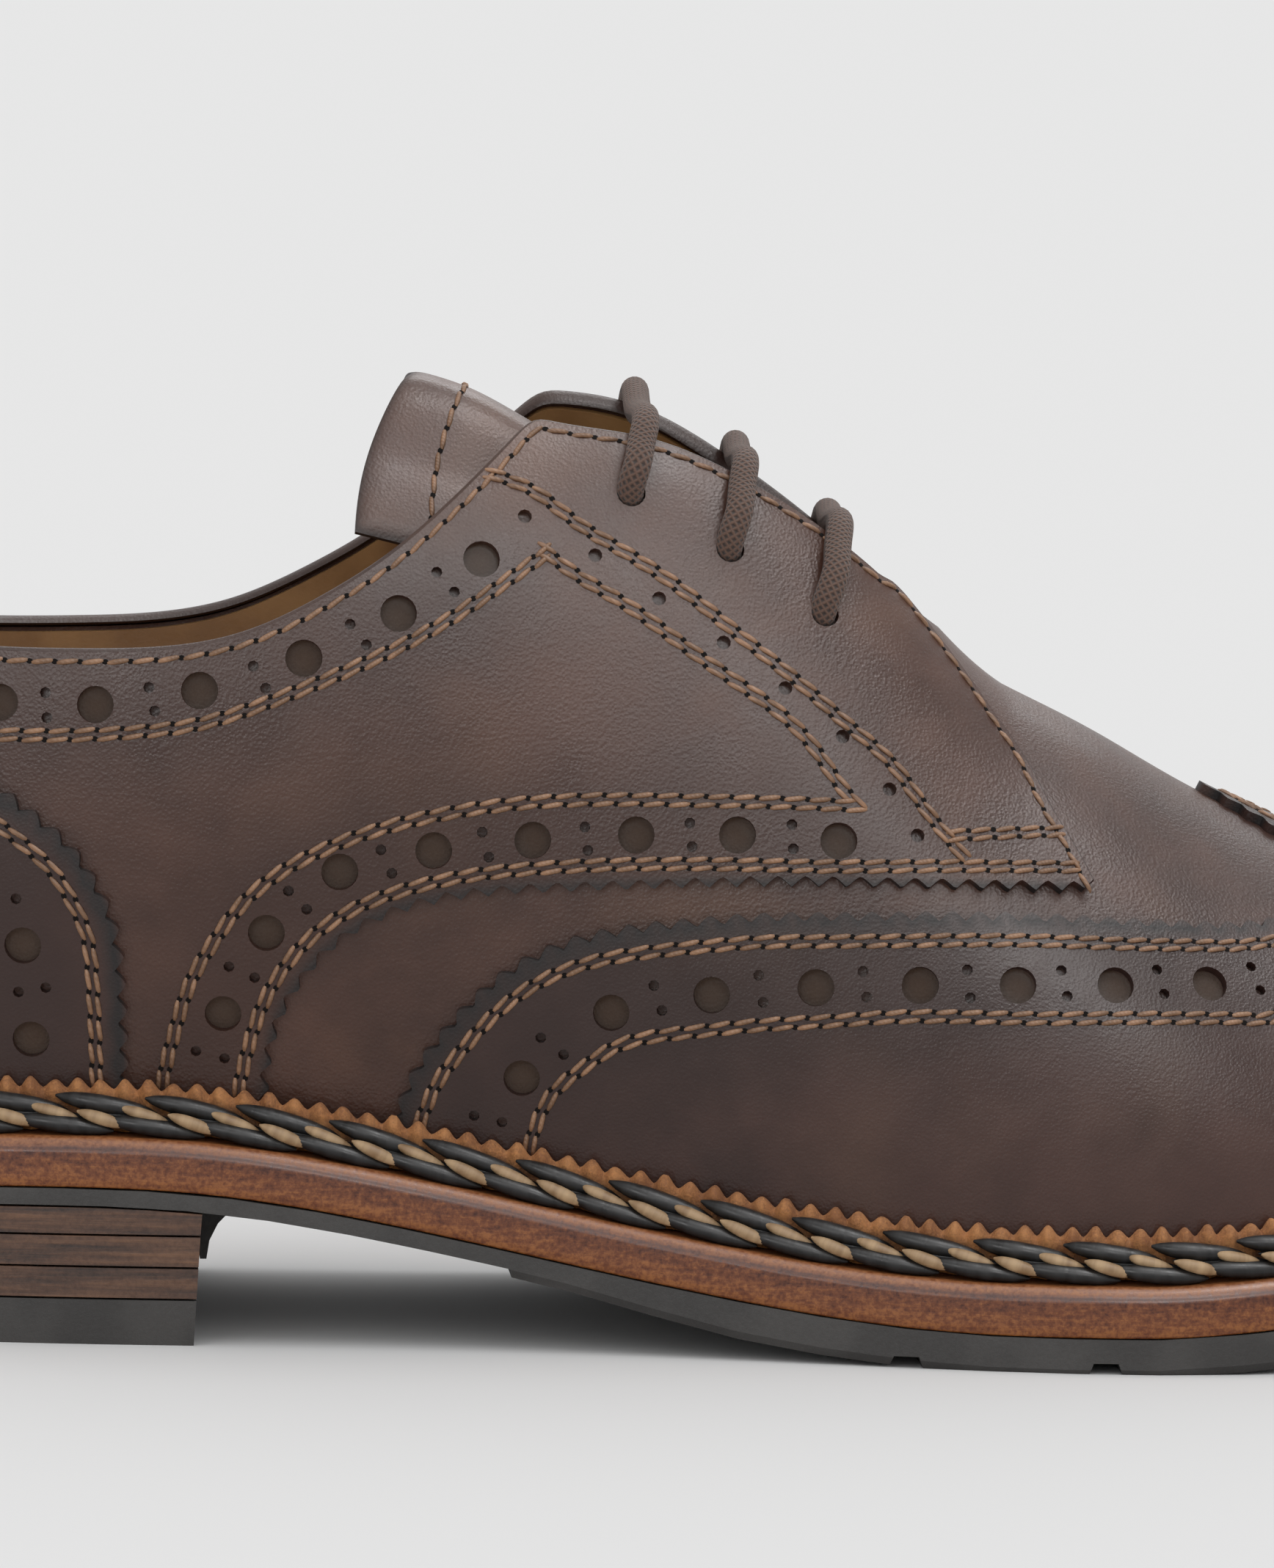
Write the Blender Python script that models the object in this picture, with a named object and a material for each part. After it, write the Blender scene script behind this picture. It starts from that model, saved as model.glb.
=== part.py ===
"""A man's right brogue derby shoe: hollow upper, wing cap, quarters, heel counter, tongue, laces,
braided welt, leather midsole, rubber outsole and stacked heel. Metres, +Z up, toe towards +X."""

import math

import bmesh
import bpy
import numpy as np
from mathutils import Vector

MM = 0.001
FIT_GAP = 0.3 * MM  # between faces that touch in the real shoe

# Plan and last
OUTSOLE_LENGTH = 305 * MM
BALL_WIDTH = 105 * MM
INSTEP_HEIGHT = 108.7 * MM  # ridge of the instep above the midsole
QUARTER_HEIGHT = 66.3 * MM  # collar under the ankle above the midsole
WELT_WIDTH = 10 * MM  # outsole's edge to the last at the sides
HEEL_TUCK = 1.2 * MM  # how much further in the upper stands at the heel
LAST_SWING = 7 * MM  # how far the instep's ridge lies to the inner side at the toe
SIDE_BULGE = 21 * MM  # how far the sides lean out above the welt, as a curve's handle
FOOT_STAND_SHARE = 0.08  # how slowly the sides start to lean

# Sole
TOP_PIECE = 6.3 * MM
HEEL_STACK = 13.4 * MM
HEEL_LIFTS = 3
WAIST_RUBBER = 2.3 * MM
TREAD_RUBBER = 4.8 * MM
MIDSOLE = 7.1 * MM
MIDSOLE_BEVEL = 1.4 * MM
TOE_SPRING = 11 * MM
HEEL_LENGTH = 72.4 * MM
HEEL_TAPER = 1.3 * MM
BREAST_LEAN = 0.9 * MM
GUSSET_LENGTH = 9 * MM
GUSSET_DROP = 8.5 * MM
GUSSET_WIDTH = 34 * MM
TREAD_START_SHARE = 0.377  # share of the length where the forepart's rubber steps down
TREAD_STEP_SHARE = 0.44  # share of the extra thickness that comes at once
TREAD_FLATTENED = 0.5 * MM  # how much of its round the floor takes off
TREAD_CHAMFER = 1.1 * MM
GROOVES = 4
FIRST_GROOVE_SHARE = 0.553  # along the length
GROOVE_WIDTH = 3.4 * MM
GROOVE_DEPTH = 1.5 * MM
GROOVE_PITCH = 27 * MM
INSOLE = 3 * MM

# Welt
EXPOSED_EDGE = 1.5 * MM  # midsole that shows outside the braid
BRAID_WIDTH = 3.8 * MM
BRAID_HEIGHT = 5.2 * MM
WELT_LEATHER = 2.0 * MM
WELT_HEIGHT = 8.0 * MM

# Upper
UPPER_WALL = 1.8 * MM
OVERLAY = 1.2 * MM
TONGUE_WALL = 2.0 * MM
TONGUE_SAG = 1.9 * MM  # extra room between its sides and the facings
FACING_GAP = 12.5 * MM  # facing's edge to the instep's ridge
FACING_SPRING = 10.3 * MM  # how far the facings stand up off the tongue
EYELET_SETBACK = 13.4 * MM
EYELET_HOLE = 2.6 * MM  # radius
LACE_RADIUS = 1.85 * MM
LACE_ARCH = 1.5 * MM  # how far a bar rises over the throat

STATIONS = 30
ROWS = 8

# Outline of the outsole seen from above, as shares of the length and of the ball width.
PLAN = {
    "along":   (0.06, 0.13, 0.22, 0.32, 0.42, 0.52, 0.61, 0.68, 0.75, 0.83, 0.90, 0.955),
    "lateral": (0.257, 0.324, 0.348, 0.362, 0.400, 0.462, 0.514, 0.529, 0.500, 0.424, 0.319, 0.195),
    "medial":  (0.252, 0.310, 0.319, 0.295, 0.295, 0.343, 0.414, 0.471, 0.505, 0.490, 0.424, 0.324),
}
TOE_TIP_SIDE = 0.067

# The midsole's top above its level under the ball: shares of the heel's rise and of the toe spring.
SOLE_LINE = {
    "along": (0, 0.13, 0.236, 0.308, 0.377, 0.472, 0.5475, 0.60, 0.64, 0.67, 0.715, 0.82, 0.918, 1),
    "heel":  (1, 0.983, 0.948, 0.767, 0.529, 0.215, 0.044, 0, 0, 0, 0, 0, 0, 0),
    "toe":   (0, 0, 0, 0, 0, 0, 0, 0, 0, 0.01, 0.10, 0.37, 0.70, 1),
}

# Where each rib of the last leaves the welt, and where it meets the ridge.
RIB_FAN = {
    "foot":  (0.02, 0.08, 0.14, 0.22, 0.30, 0.40, 0.50, 0.62, 0.72, 0.80, 0.88, 0.94, 0.975),
    "ridge": (0.165, 0.175, 0.205, 0.255, 0.315, 0.40, 0.50, 0.62, 0.71, 0.770, 0.815, 0.842, 0.855),
}

# The ridge of the last above the midsole, as shares of the instep, and its swing to the inner side.
RIDGE = {
    "along":  (0.15, 0.25, 0.33, 0.36, 0.40, 0.44, 0.49, 0.54, 0.59, 0.63, 0.66, 0.70, 0.74, 0.79, 0.83, 0.87),
    "height": (1.024, 1.021, 1.009, 1.0, 0.963, 0.942, 0.903, 0.835, 0.746, 0.689, 0.645, 0.576, 0.516,
               0.452, 0.400, 0.345),
    "swing":  (0, -0.1, -0.3, -0.42, -0.5, -0.5, -0.45, -0.33, -0.1, 0.08, 0.24, 0.45, 0.63, 0.85, 1, 1),
}

# Sections of the last, one row for each place: how full its side and its top are, and how far it bulges.
SECTIONS = {
    "along":          (0.02, 0.10, 0.20, 0.30, 0.40, 0.50, 0.60, 0.70, 0.80, 0.90, 0.98),
    "side_lateral":   (0.50, 0.52, 0.55, 0.55, 0.52, 0.50, 0.48, 0.46, 0.50, 0.60, 0.70),
    "side_medial":    (0.50, 0.52, 0.55, 0.52, 0.46, 0.44, 0.44, 0.46, 0.50, 0.60, 0.70),
    "top_lateral":    (0.70, 0.72, 0.80, 0.85, 0.80, 0.70, 0.60, 0.52, 0.50, 0.55, 0.60),
    "top_medial":     (0.70, 0.72, 0.80, 0.86, 0.84, 0.76, 0.64, 0.55, 0.52, 0.55, 0.60),
    "bulge_lateral":  (0.40, 0.85, 1.08, 0.98, 0.70, 0.54, 0.44, 0.40, 0.36, 0.26, 0.18),
    "bulge_medial":   (0.40, 0.85, 1.02, 0.92, 0.72, 0.60, 0.48, 0.42, 0.36, 0.26, 0.18),
}

# The collar's edge above the midsole, as shares of the quarter's height.
COLLAR = {
    "along":  (0.02, 0.065, 0.105, 0.144, 0.18, 0.216, 0.254, 0.29, 0.32, 0.343, 0.368, 0.42),
    "height": (1.10, 1.055, 1.015, 1.0, 1.0, 1.012, 1.062, 1.164, 1.276, 1.383, 1.513, 1.80),
}

# How far the facings spring up off the tongue, as shares of the spring. The inner side has more.
FACING = {
    "along":  (0.30, 0.36, 0.39, 0.43, 0.475, 0.52, 0.55, 0.575, 0.60, 0.66),
    "spring": (0, 0.30, 0.62, 0.94, 1.0, 0.92, 0.76, 0.42, 0.08, 0),
    "medial": (0, 0.32, 0.53, 0.66, 0.62, 0.53, 0.39, 0.18, 0, 0),
}
THROAT_END_SHARE = 0.578
THROAT_ROUND_SHARE = 0.035

# Panel edges seen from the side: shares of the length, and of the instep above the midsole.
QUARTER_EDGE = {
    "along":  (0.258, 0.262, 0.272, 0.290, 0.316, 0.348, 0.394, 0.45, 0.52, 0.58, 0.638),
    "height": (0.02, 0.08, 0.16, 0.26, 0.332, 0.378, 0.414, 0.446, 0.478, 0.492, 0.488),
}
WING_EDGE = {
    "along":  (0.322, 0.329, 0.346, 0.376, 0.415, 0.458, 0.516, 0.574, 0.62, 0.66, 0.70, 0.74, 0.77, 0.787),
    "height": (0.03, 0.07, 0.18, 0.28, 0.345, 0.394, 0.426, 0.444, 0.447, 0.440, 0.428, 0.408, 0.386, 0.37),
}

# Panel edges seen from above: half widths about the ridge, as shares of the ball width.
FACING_FRONT = {
    "along": (0.555, 0.566, 0.583, 0.597, 0.6105, 0.619, 0.630, 0.6385, 0.66),
    "half":  (0.107, 0.117, 0.139, 0.171, 0.210, 0.252, 0.290, 0.320, 0.40),
}
CAP_PEAK = {
    "along": (0.703, 0.708, 0.722, 0.738, 0.755, 0.771, 0.783, 0.80),
    "half":  (0.002, 0.012, 0.040, 0.078, 0.122, 0.160, 0.196, 0.25),
}
COUNTER_EDGE = {
    "along":  (0.201, 0.200, 0.197, 0.193, 0.181, 0.161, 0.130, 0.095, 0.05, 0.0, -0.05),
    "height": (0.02, 0.10, 0.20, 0.27, 0.33, 0.396, 0.452, 0.49, 0.52, 0.54, 0.55),
}

EYELETS = {
    "along":   (0.423, 0.468, 0.511),  # of the length
    "setback": (0.72, 1.0, 1.19),  # of the eyelets' setback from the facing's edge
}
TONGUE_TOP_SHARE = 0.332
TONGUE_END_SHARE = 0.617
TONGUE_FLANK_SHARE = 0.60
TONGUE_DROOP_SHARE = 0.022


def through(table, column, where):
    """A smooth curve, a natural cubic spline, through one column of a table."""
    knots = np.asarray(table["along" if "along" in table else "foot"], float)
    return spline(knots, np.asarray(table[column], float), where)


def spline(knots, values, where):
    """A natural cubic spline through the values at the knots, worked out at each place."""
    count = len(knots)
    step = np.diff(knots)
    matrix = np.eye(count)
    right = np.zeros(count)
    for i in range(1, count - 1):
        matrix[i, i - 1 : i + 2] = step[i - 1], 2 * (step[i - 1] + step[i]), step[i]
        right[i] = 3 * ((values[i + 1] - values[i]) / step[i] - (values[i] - values[i - 1]) / step[i - 1])
    c = np.linalg.solve(matrix, right)
    b = np.diff(values) / step - step * (2 * c[:-1] + c[1:]) / 3
    d = np.diff(c) / (3 * step)
    where = np.asarray(where, float)
    k = np.clip(np.searchsorted(knots, where) - 1, 0, count - 2)
    u = where - knots[k]
    return values[k] + b[k] * u + c[k] * u**2 + d[k] * u**3


def smooth_step(low, high, value):
    t = np.clip((np.asarray(value, float) - low) / (high - low), 0, 1)
    return t * t * (3 - 2 * t)


def unit(vectors):
    return vectors / np.maximum(np.linalg.norm(vectors, axis=-1), 1e-12)[..., None]


def plan_sides(shares):
    """Points of the outsole's edge and their inward directions at shares of each side, heel to toe."""
    along = [0, *(a * OUTSOLE_LENGTH for a in PLAN["along"])]
    lateral = [0, *(-w * BALL_WIDTH for w in PLAN["lateral"])]
    medial = [w * BALL_WIDTH for w in PLAN["medial"]]
    points = list(zip(along, lateral))
    points.append((OUTSOLE_LENGTH, TOE_TIP_SIDE * BALL_WIDTH))
    points += list(zip(along[:0:-1], medial[::-1]))
    loop = np.array(points[-3:] + points + points[:4])
    at = np.concatenate([[0], np.cumsum(np.sqrt(np.hypot(*np.diff(loop, axis=0).T)))])

    def place(t):
        return np.stack([spline(at, loop[:, 0], t), spline(at, loop[:, 1], t)], -1)

    toe = at[3 + len(along)]
    sides = []
    for start in (at[3], at[3 + len(points)]):
        t = np.linspace(start, toe, 1501)
        run = np.concatenate([[0], np.cumsum(np.hypot(*np.diff(place(t), axis=0).T))])
        t = np.interp(np.asarray(shares) * run[-1], run, t)
        nudge = 1e-4
        ahead = place(t + nudge) - place(t - nudge)
        sides.append([place(t), unit(np.stack([-ahead[:, 1], ahead[:, 0]], -1))])
    ends = (np.asarray(shares) == 0) | (np.asarray(shares) == 1)
    for lateral, medial in zip(*sides):  # both sides share the heel's and the toe's middle
        lateral[ends] = medial[ends] = (lateral[ends] + medial[ends]) / 2
    return sides


def heel_rise():
    """How much higher the midsole lies at the heel than under the ball."""
    return TOP_PIECE + HEEL_STACK + WAIST_RUBBER - TREAD_RUBBER


def midsole_top(x):
    share = np.asarray(x) / OUTSOLE_LENGTH
    rise = heel_rise() * through(SOLE_LINE, "heel", share) + TOE_SPRING * through(SOLE_LINE, "toe", share)
    return TREAD_RUBBER + MIDSOLE + rise


def upper_inset(x):
    return WELT_WIDTH + HEEL_TUCK * smooth_step(0.3, 0.18, np.asarray(x) / OUTSOLE_LENGTH)


class Last:
    """Ribs of the last. Each is one cubic in its own upright plane, from the welt to the ridge."""

    def __init__(self, shares):
        (self.lateral, self.lateral_in), (self.medial, self.medial_in) = plan_sides(shares)
        self.shares = np.asarray(shares)
        middle = (self.lateral[:, 0] + self.medial[:, 0]) / 2
        self.ridge_share = spline(
            np.array(RIB_FAN["foot"]), np.array(RIB_FAN["ridge"]), middle / OUTSOLE_LENGTH
        )

    def ridge(self, share):
        """Point of the ridge at a share of the length."""
        x = share * OUTSOLE_LENGTH
        z = midsole_top(x) + INSTEP_HEIGHT * through(RIDGE, "height", share)
        return np.stack([x, LAST_SWING * through(RIDGE, "swing", share), z], -1)

    def section(self, column, side, share):
        """A column of the sections on one side, even with the other side's at the heel and the toe."""
        both = [through(SECTIONS, column + which, share) for which in ("_lateral", "_medial")]
        middle = (both[0] + both[1]) / 2
        own = smooth_step(0, 0.08, self.shares) * smooth_step(1, 0.92, self.shares)
        return middle + own * (both[side] - middle)

    def rib(self, side, t):
        """Points at the parameters t (stations by rows) of the ribs on side 0, lateral, or 1, medial."""
        foot, inward = ((self.lateral, self.lateral_in), (self.medial, self.medial_in))[side]
        foot = foot + inward * upper_inset(foot[:, 0])[:, None]
        share = foot[:, 0] / OUTSOLE_LENGTH
        low = midsole_top(foot[:, 0]) + FIT_GAP
        top = self.ridge(self.ridge_share)
        nudge = 1e-4
        ahead = self.ridge(self.ridge_share + nudge) - self.ridge(self.ridge_share - nudge)
        slope = ahead[:, 2] / ahead[:, 0]
        across = top[:, :2] - foot
        reach = np.linalg.norm(across, axis=1)
        across /= reach[:, None]
        fullness, crown, bulge = (self.section(column, side, share) for column in ("side", "top", "bulge"))
        bulge = bulge * SIDE_BULGE
        rise = top[:, 2] - low
        corners = (
            np.stack([0 * reach, low], -1),
            np.stack([0 * reach, low + fullness * rise], -1),
            np.stack([reach * (1 - crown), top[:, 2] - slope * across[:, 0] * crown * reach], -1),
            np.stack([reach, top[:, 2]], -1),
        )
        t = t[..., None]
        weights = ((1 - t) ** 3, 3 * (1 - t) ** 2 * t, 3 * (1 - t) * t**2, t**3)
        flat = sum(w * c[:, None] for w, c in zip(weights, corners))
        flat[..., :1] -= bulge[:, None, None] * weights[1] * t / (t + FOOT_STAND_SHARE)
        return np.concatenate([foot[:, None] + across[:, None] * flat[..., :1], flat[..., 1:]], -1)

    def form(self, side, t, spring=1.0):
        """The rib with the facings' spring: they rise off the tongue towards their edge."""
        points = self.rib(side, t)
        share = points[..., 0] / OUTSOLE_LENGTH
        share = np.clip(share, 0.30, 0.66)
        lift = np.maximum(through(FACING, "spring", share), 0)
        if side == 1:
            before_end = smooth_step(THROAT_END_SHARE - 0.006, THROAT_END_SHARE - 0.05, share)
            lift = lift + before_end * np.maximum(through(FACING, "medial", share), 0)
        points[..., 2] += spring * FACING_SPRING * lift * smooth_step(0.45, 0.85, t)
        return points

    def edge(self, side, throat_end=THROAT_END_SHARE):
        """The parameter where each rib meets the collar or the facing's edge, and 1 past the throat."""
        t = np.linspace(0, 1, 301)
        grid = np.broadcast_to(t, (len(self.shares), len(t)))
        points = self.form(side, grid)
        share = points[..., 0] / OUTSOLE_LENGTH
        collar = midsole_top(points[..., 0]) + QUARTER_HEIGHT * through(COLLAR, "height", np.clip(share, 0, 0.42))
        over_collar = points[..., 2] - collar
        ridge_y = LAST_SWING * through(RIDGE, "swing", self.ridge_share)[:, None]
        open_width = FACING_GAP * np.sqrt(np.clip((throat_end - share) / THROAT_ROUND_SHARE, 0, 1))
        over_facing = open_width - np.abs(points[..., 1] - ridge_y)
        meets = []
        for over in (over_collar, over_facing):
            past = over > 0
            first = np.where(past.any(1), past.argmax(1), len(t) - 1)
            before = np.maximum(first - 1, 0)
            row = np.arange(len(first))
            low, high = over[row, before], over[row, first]
            part = np.clip(-low / np.where(high - low == 0, 1, high - low), 0, 1)
            meets.append(np.where(past.any(1), t[before] + part * (t[first] - t[before]), 1.0))
        collar_t, facing_t = meets
        collar_t = np.where(self.ridge_share > 0.42, 1.2, collar_t)
        facing_t = np.where(self.ridge_share < 0.30, 1.2, facing_t)
        soft = 90.0  # how sharply the collar turns into the facing
        rounded = -np.log(np.exp(-soft * collar_t) + np.exp(-soft * facing_t)) / soft
        return np.where(self.ridge_share >= throat_end, 1.0, np.minimum(rounded, 0.99))


def side_normals(lateral, medial):
    """Outward normals of both sides' grids, stations by rows. Where the sides meet they share one."""
    both = []
    for grid, sign in ((lateral, 1), (medial, -1)):
        both.append(sign * unit(np.cross(np.gradient(grid, axis=0), np.gradient(grid, axis=1))))
    meet = np.linalg.norm(lateral - medial, axis=-1) < 0.01 * MM
    shared = unit(both[0] + both[1])
    return [np.where(meet[..., None], shared, outward) for outward in both]


def surface(side, ridge_share, t, spring=1.0):
    """Points of the form at arrays of ridge shares and of parameters along the ribs."""
    ridge_share, t = np.broadcast_arrays(ridge_share, t)
    whole = np.linspace(0, 1, 801)
    shares = np.interp(ridge_share.ravel(), Last(whole).ridge_share, whole)
    return Last(shares).form(side, t.reshape(-1, 1), spring).reshape(*t.shape, 3)


def make_object(name, points, faces, finish, smooth=True):
    """A closed mesh object from points and faces, doubles merged and its faces turned out."""
    mesh = bpy.data.meshes.new(name)
    work = bmesh.new()
    corners = [work.verts.new(p) for p in points]
    for face in faces:
        ring = [corners[i] for i in face]
        if len(set(ring)) > 2:
            work.faces.new(ring)
    bmesh.ops.remove_doubles(work, verts=work.verts, dist=0.01 * MM)
    bmesh.ops.recalc_face_normals(work, faces=work.faces)
    work.to_mesh(mesh)
    work.free()
    if smooth:
        mesh.shade_smooth()
        mesh.set_sharp_from_angle(angle=math.radians(40))
    made = bpy.data.objects.new(name, mesh)
    made.data.materials.append(finish)
    bpy.context.scene.collection.objects.link(made)
    return made


def finish(name, colour, roughness):
    material = bpy.data.materials.new(name)
    material.use_nodes = True
    shader = material.node_tree.nodes["Principled BSDF"]
    shader.inputs["Base Color"].default_value = (*colour, 1)
    shader.inputs["Roughness"].default_value = roughness
    shader.inputs["Metallic"].default_value = 0
    return material


def add_cutter(name, points, faces):
    cutter = make_object(name, points, faces, finish(name, (1, 0, 0), 0.5), smooth=False)
    cutter.hide_render = True
    cutter.display_type = "WIRE"
    return cutter


def cut(target, cutter, operation="DIFFERENCE"):
    modifier = target.modifiers.new(cutter.name, "BOOLEAN")
    modifier.operation = operation
    modifier.solver = "EXACT"
    modifier.object = cutter


def ring_grid(last, side_edges, low, high, first):
    """Grids of both sides of the form at two offsets: grids[side][layer] is stations by rows."""
    part = Last(last.shares[first:])
    tops = [edge[first:, None] for edge in side_edges]
    sides = [part.form(side, tops[side] * np.linspace(0, 1, ROWS + 1)) for side in (0, 1)]
    outward = side_normals(*sides)
    for n in outward:
        n[:, 0, 2] = 0  # the foot of the wall moves out level
        n[-1, -1] = n[-2, -1]  # the rib over the toe's middle starts along the ridge
    return [[s + unit(n) * offset for offset in (low, high)] for s, n in zip(sides, outward)]


def shell(name, last, edges, low, high, material, first=0):
    """A closed wall between two offsets of the form, open at the collar, at the throat and below."""
    grids = ring_grid(last, edges, low, high, first)
    points, faces = [], []
    count = len(last.shares) - first
    width = ROWS + 1

    def at(side, layer, i, j):
        return ((side * 2 + layer) * count + i) * width + j

    for side in (0, 1):
        for layer in (0, 1):
            points += grids[side][layer].reshape(-1, 3).tolist()
    for side in (0, 1):
        shut = edges[side][first:] >= 1
        for i in range(count - 1):
            for j in range(ROWS):
                for layer in (0, 1):
                    faces.append(
                        (at(side, layer, i, j), at(side, layer, i + 1, j),
                         at(side, layer, i + 1, j + 1), at(side, layer, i, j + 1))
                    )
            faces.append((at(side, 0, i, 0), at(side, 1, i, 0), at(side, 1, i + 1, 0), at(side, 0, i + 1, 0)))
            if not (shut[i] and shut[i + 1]):
                faces.append(
                    (at(side, 0, i, ROWS), at(side, 1, i, ROWS),
                     at(side, 1, i + 1, ROWS), at(side, 0, i + 1, ROWS))
                )
        ends = ([0] if first > 0 else []) + ([count - 1] if last.shares[-1] < 1 else [])
        for i in ends:
            for j in range(ROWS):
                faces.append((at(side, 0, i, j), at(side, 1, i, j), at(side, 1, i, j + 1), at(side, 0, i, j + 1)))
    return make_object(name, points, faces, material)


def prism(name, outline, axis, low, high):
    """A prism along axis 1, across the shoe, or 2, upright, from its outline in the other two."""
    count = len(outline)
    points = [
        (a, level, b) if axis == 1 else (a, b, level) for level in (low, high) for a, b in outline
    ]
    faces = [tuple(range(count)), tuple(range(2 * count - 1, count - 1, -1))]
    faces += [(i, (i + 1) % count, (i + 1) % count + count, i + count) for i in range(count)]
    return add_cutter(name, points, faces)


def side_prism(name, outline, half_width=BALL_WIDTH):
    """A prism across the shoe from an outline seen from the side."""
    return prism(name, outline, 1, -half_width, half_width)


def plan_prism(name, table):
    """An upright prism, even about the ridge, from a table of half widths seen from above."""
    along = np.array(table["along"])
    run = np.linspace(0, 1, len(along))
    t = np.linspace(0, 1, 3 * len(along) - 2)
    along, half = spline(run, along, t), spline(run, np.array(table["half"]), t)
    middle = LAST_SWING * through(RIDGE, "swing", np.clip(along, 0.15, 0.87))
    x = along * OUTSOLE_LENGTH
    outline = list(zip(x, middle - half * BALL_WIDTH)) + list(zip(x[::-1], (middle + half * BALL_WIDTH)[::-1]))
    return prism(name, [(float(a), float(b)) for a, b in outline], 2, -OUTSOLE_LENGTH, OUTSOLE_LENGTH)


def edge_line(table):
    """A panel's edge seen from the side: a smooth line through its table, in metres."""
    along = np.array(table["along"]) * OUTSOLE_LENGTH
    height = np.array(table["height"]) * INSTEP_HEIGHT
    run = np.concatenate([[0], np.cumsum(np.hypot(np.diff(along), np.diff(height)))])
    t = np.linspace(0, run[-1], 3 * len(run) - 2)
    x = spline(run, along, t)
    return [(float(a), float(midsole_top(a) + h)) for a, h in zip(x, spline(run, height, t))]


def loop_points(shares, inset, height, stop=None):
    """A closed loop round the sole at an inset, its height a function of x. stop shortens it at a breast."""
    sides = plan_sides(shares)
    rails = []
    for place, inward in sides:
        p = place + inward * inset
        if stop is not None:
            p = p.copy()
            p[-1, 0] = stop
        rails.append(np.concatenate([p, np.asarray(height(p[:, 0]))[:, None]], -1))
    return rails


def plate(name, levels, material, smooth=True):
    """A solid lofted through loops from bottom to top. Each loop is its lateral and its medial rail."""
    points, faces = [], []
    count = len(levels[0][0])

    def at(level, side, i):
        return (level * 2 + side) * count + i

    for rails in levels:
        for rail in rails:
            points += rail.tolist()
    for level in range(len(levels) - 1):
        for side in (0, 1):
            for i in range(count - 1):
                faces.append((at(level, side, i), at(level, side, i + 1), at(level + 1, side, i + 1), at(level + 1, side, i)))
        end = count - 1
        faces.append((at(level, 0, end), at(level, 1, end), at(level + 1, 1, end), at(level + 1, 0, end)))
    for level in (0, len(levels) - 1):
        for i in range(count - 1):
            faces.append((at(level, 0, i), at(level, 1, i), at(level, 1, i + 1), at(level, 0, i + 1)))
    return make_object(name, points, faces, material, smooth)


def sole_loop(shares, inset, height):
    """A loop round the sole at an inset from its edge and a height above the midsole."""
    return loop_points(shares, inset, lambda x: midsole_top(x) + height)


def wall_loop(last, offset, height):
    """A loop round the last at an offset outside it and a height above the midsole."""
    rows = np.broadcast_to(np.linspace(0, 0.4, 41), (len(last.shares), 41))
    sides = [last.form(side, rows) for side in (0, 1)]
    rails = []
    for points, outward in zip(sides, side_normals(*sides)):
        moved = points + outward * offset
        level = moved[..., 2] - midsole_top(moved[..., 0])
        rail = [[np.interp(height, level[i], moved[i, :, k]) for k in (0, 1)] for i in range(len(moved))]
        rail = np.array(rail)
        rails.append(np.concatenate([rail, (midsole_top(rail[:, 0]) + height)[:, None]], -1))
    return rails


def ring(name, corners, material):
    """A closed band round the shoe from the loops of its section's corners."""
    loops = [np.concatenate([lateral, medial[-2:0:-1]]) for lateral, medial in corners]
    count, around = len(loops), len(loops[0])
    points = [p for loop in loops for p in loop.tolist()]
    faces = []
    for k in range(count):
        for i in range(around):
            a, b = k * around, (k + 1) % count * around
            j = (i + 1) % around
            faces.append((a + i, a + j, b + j, b + i))
    return make_object(name, points, faces, material)


def waist_bottom(x):
    """Underside of the thin rubber under the waist and the heel seat."""
    return midsole_top(x) - MIDSOLE - WAIST_RUBBER


def tread_bottom(x):
    """Underside of the forepart's rubber before the floor flattens it under the ball."""
    share = np.asarray(x) / OUTSOLE_LENGTH
    grown = smooth_step(TREAD_START_SHARE, TREAD_START_SHARE + 0.12, share)
    thickness = WAIST_RUBBER + (TREAD_RUBBER - WAIST_RUBBER) * (TREAD_STEP_SHARE + (1 - TREAD_STEP_SHARE) * grown)
    return midsole_top(x) - MIDSOLE - thickness - TREAD_FLATTENED * grown


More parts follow.
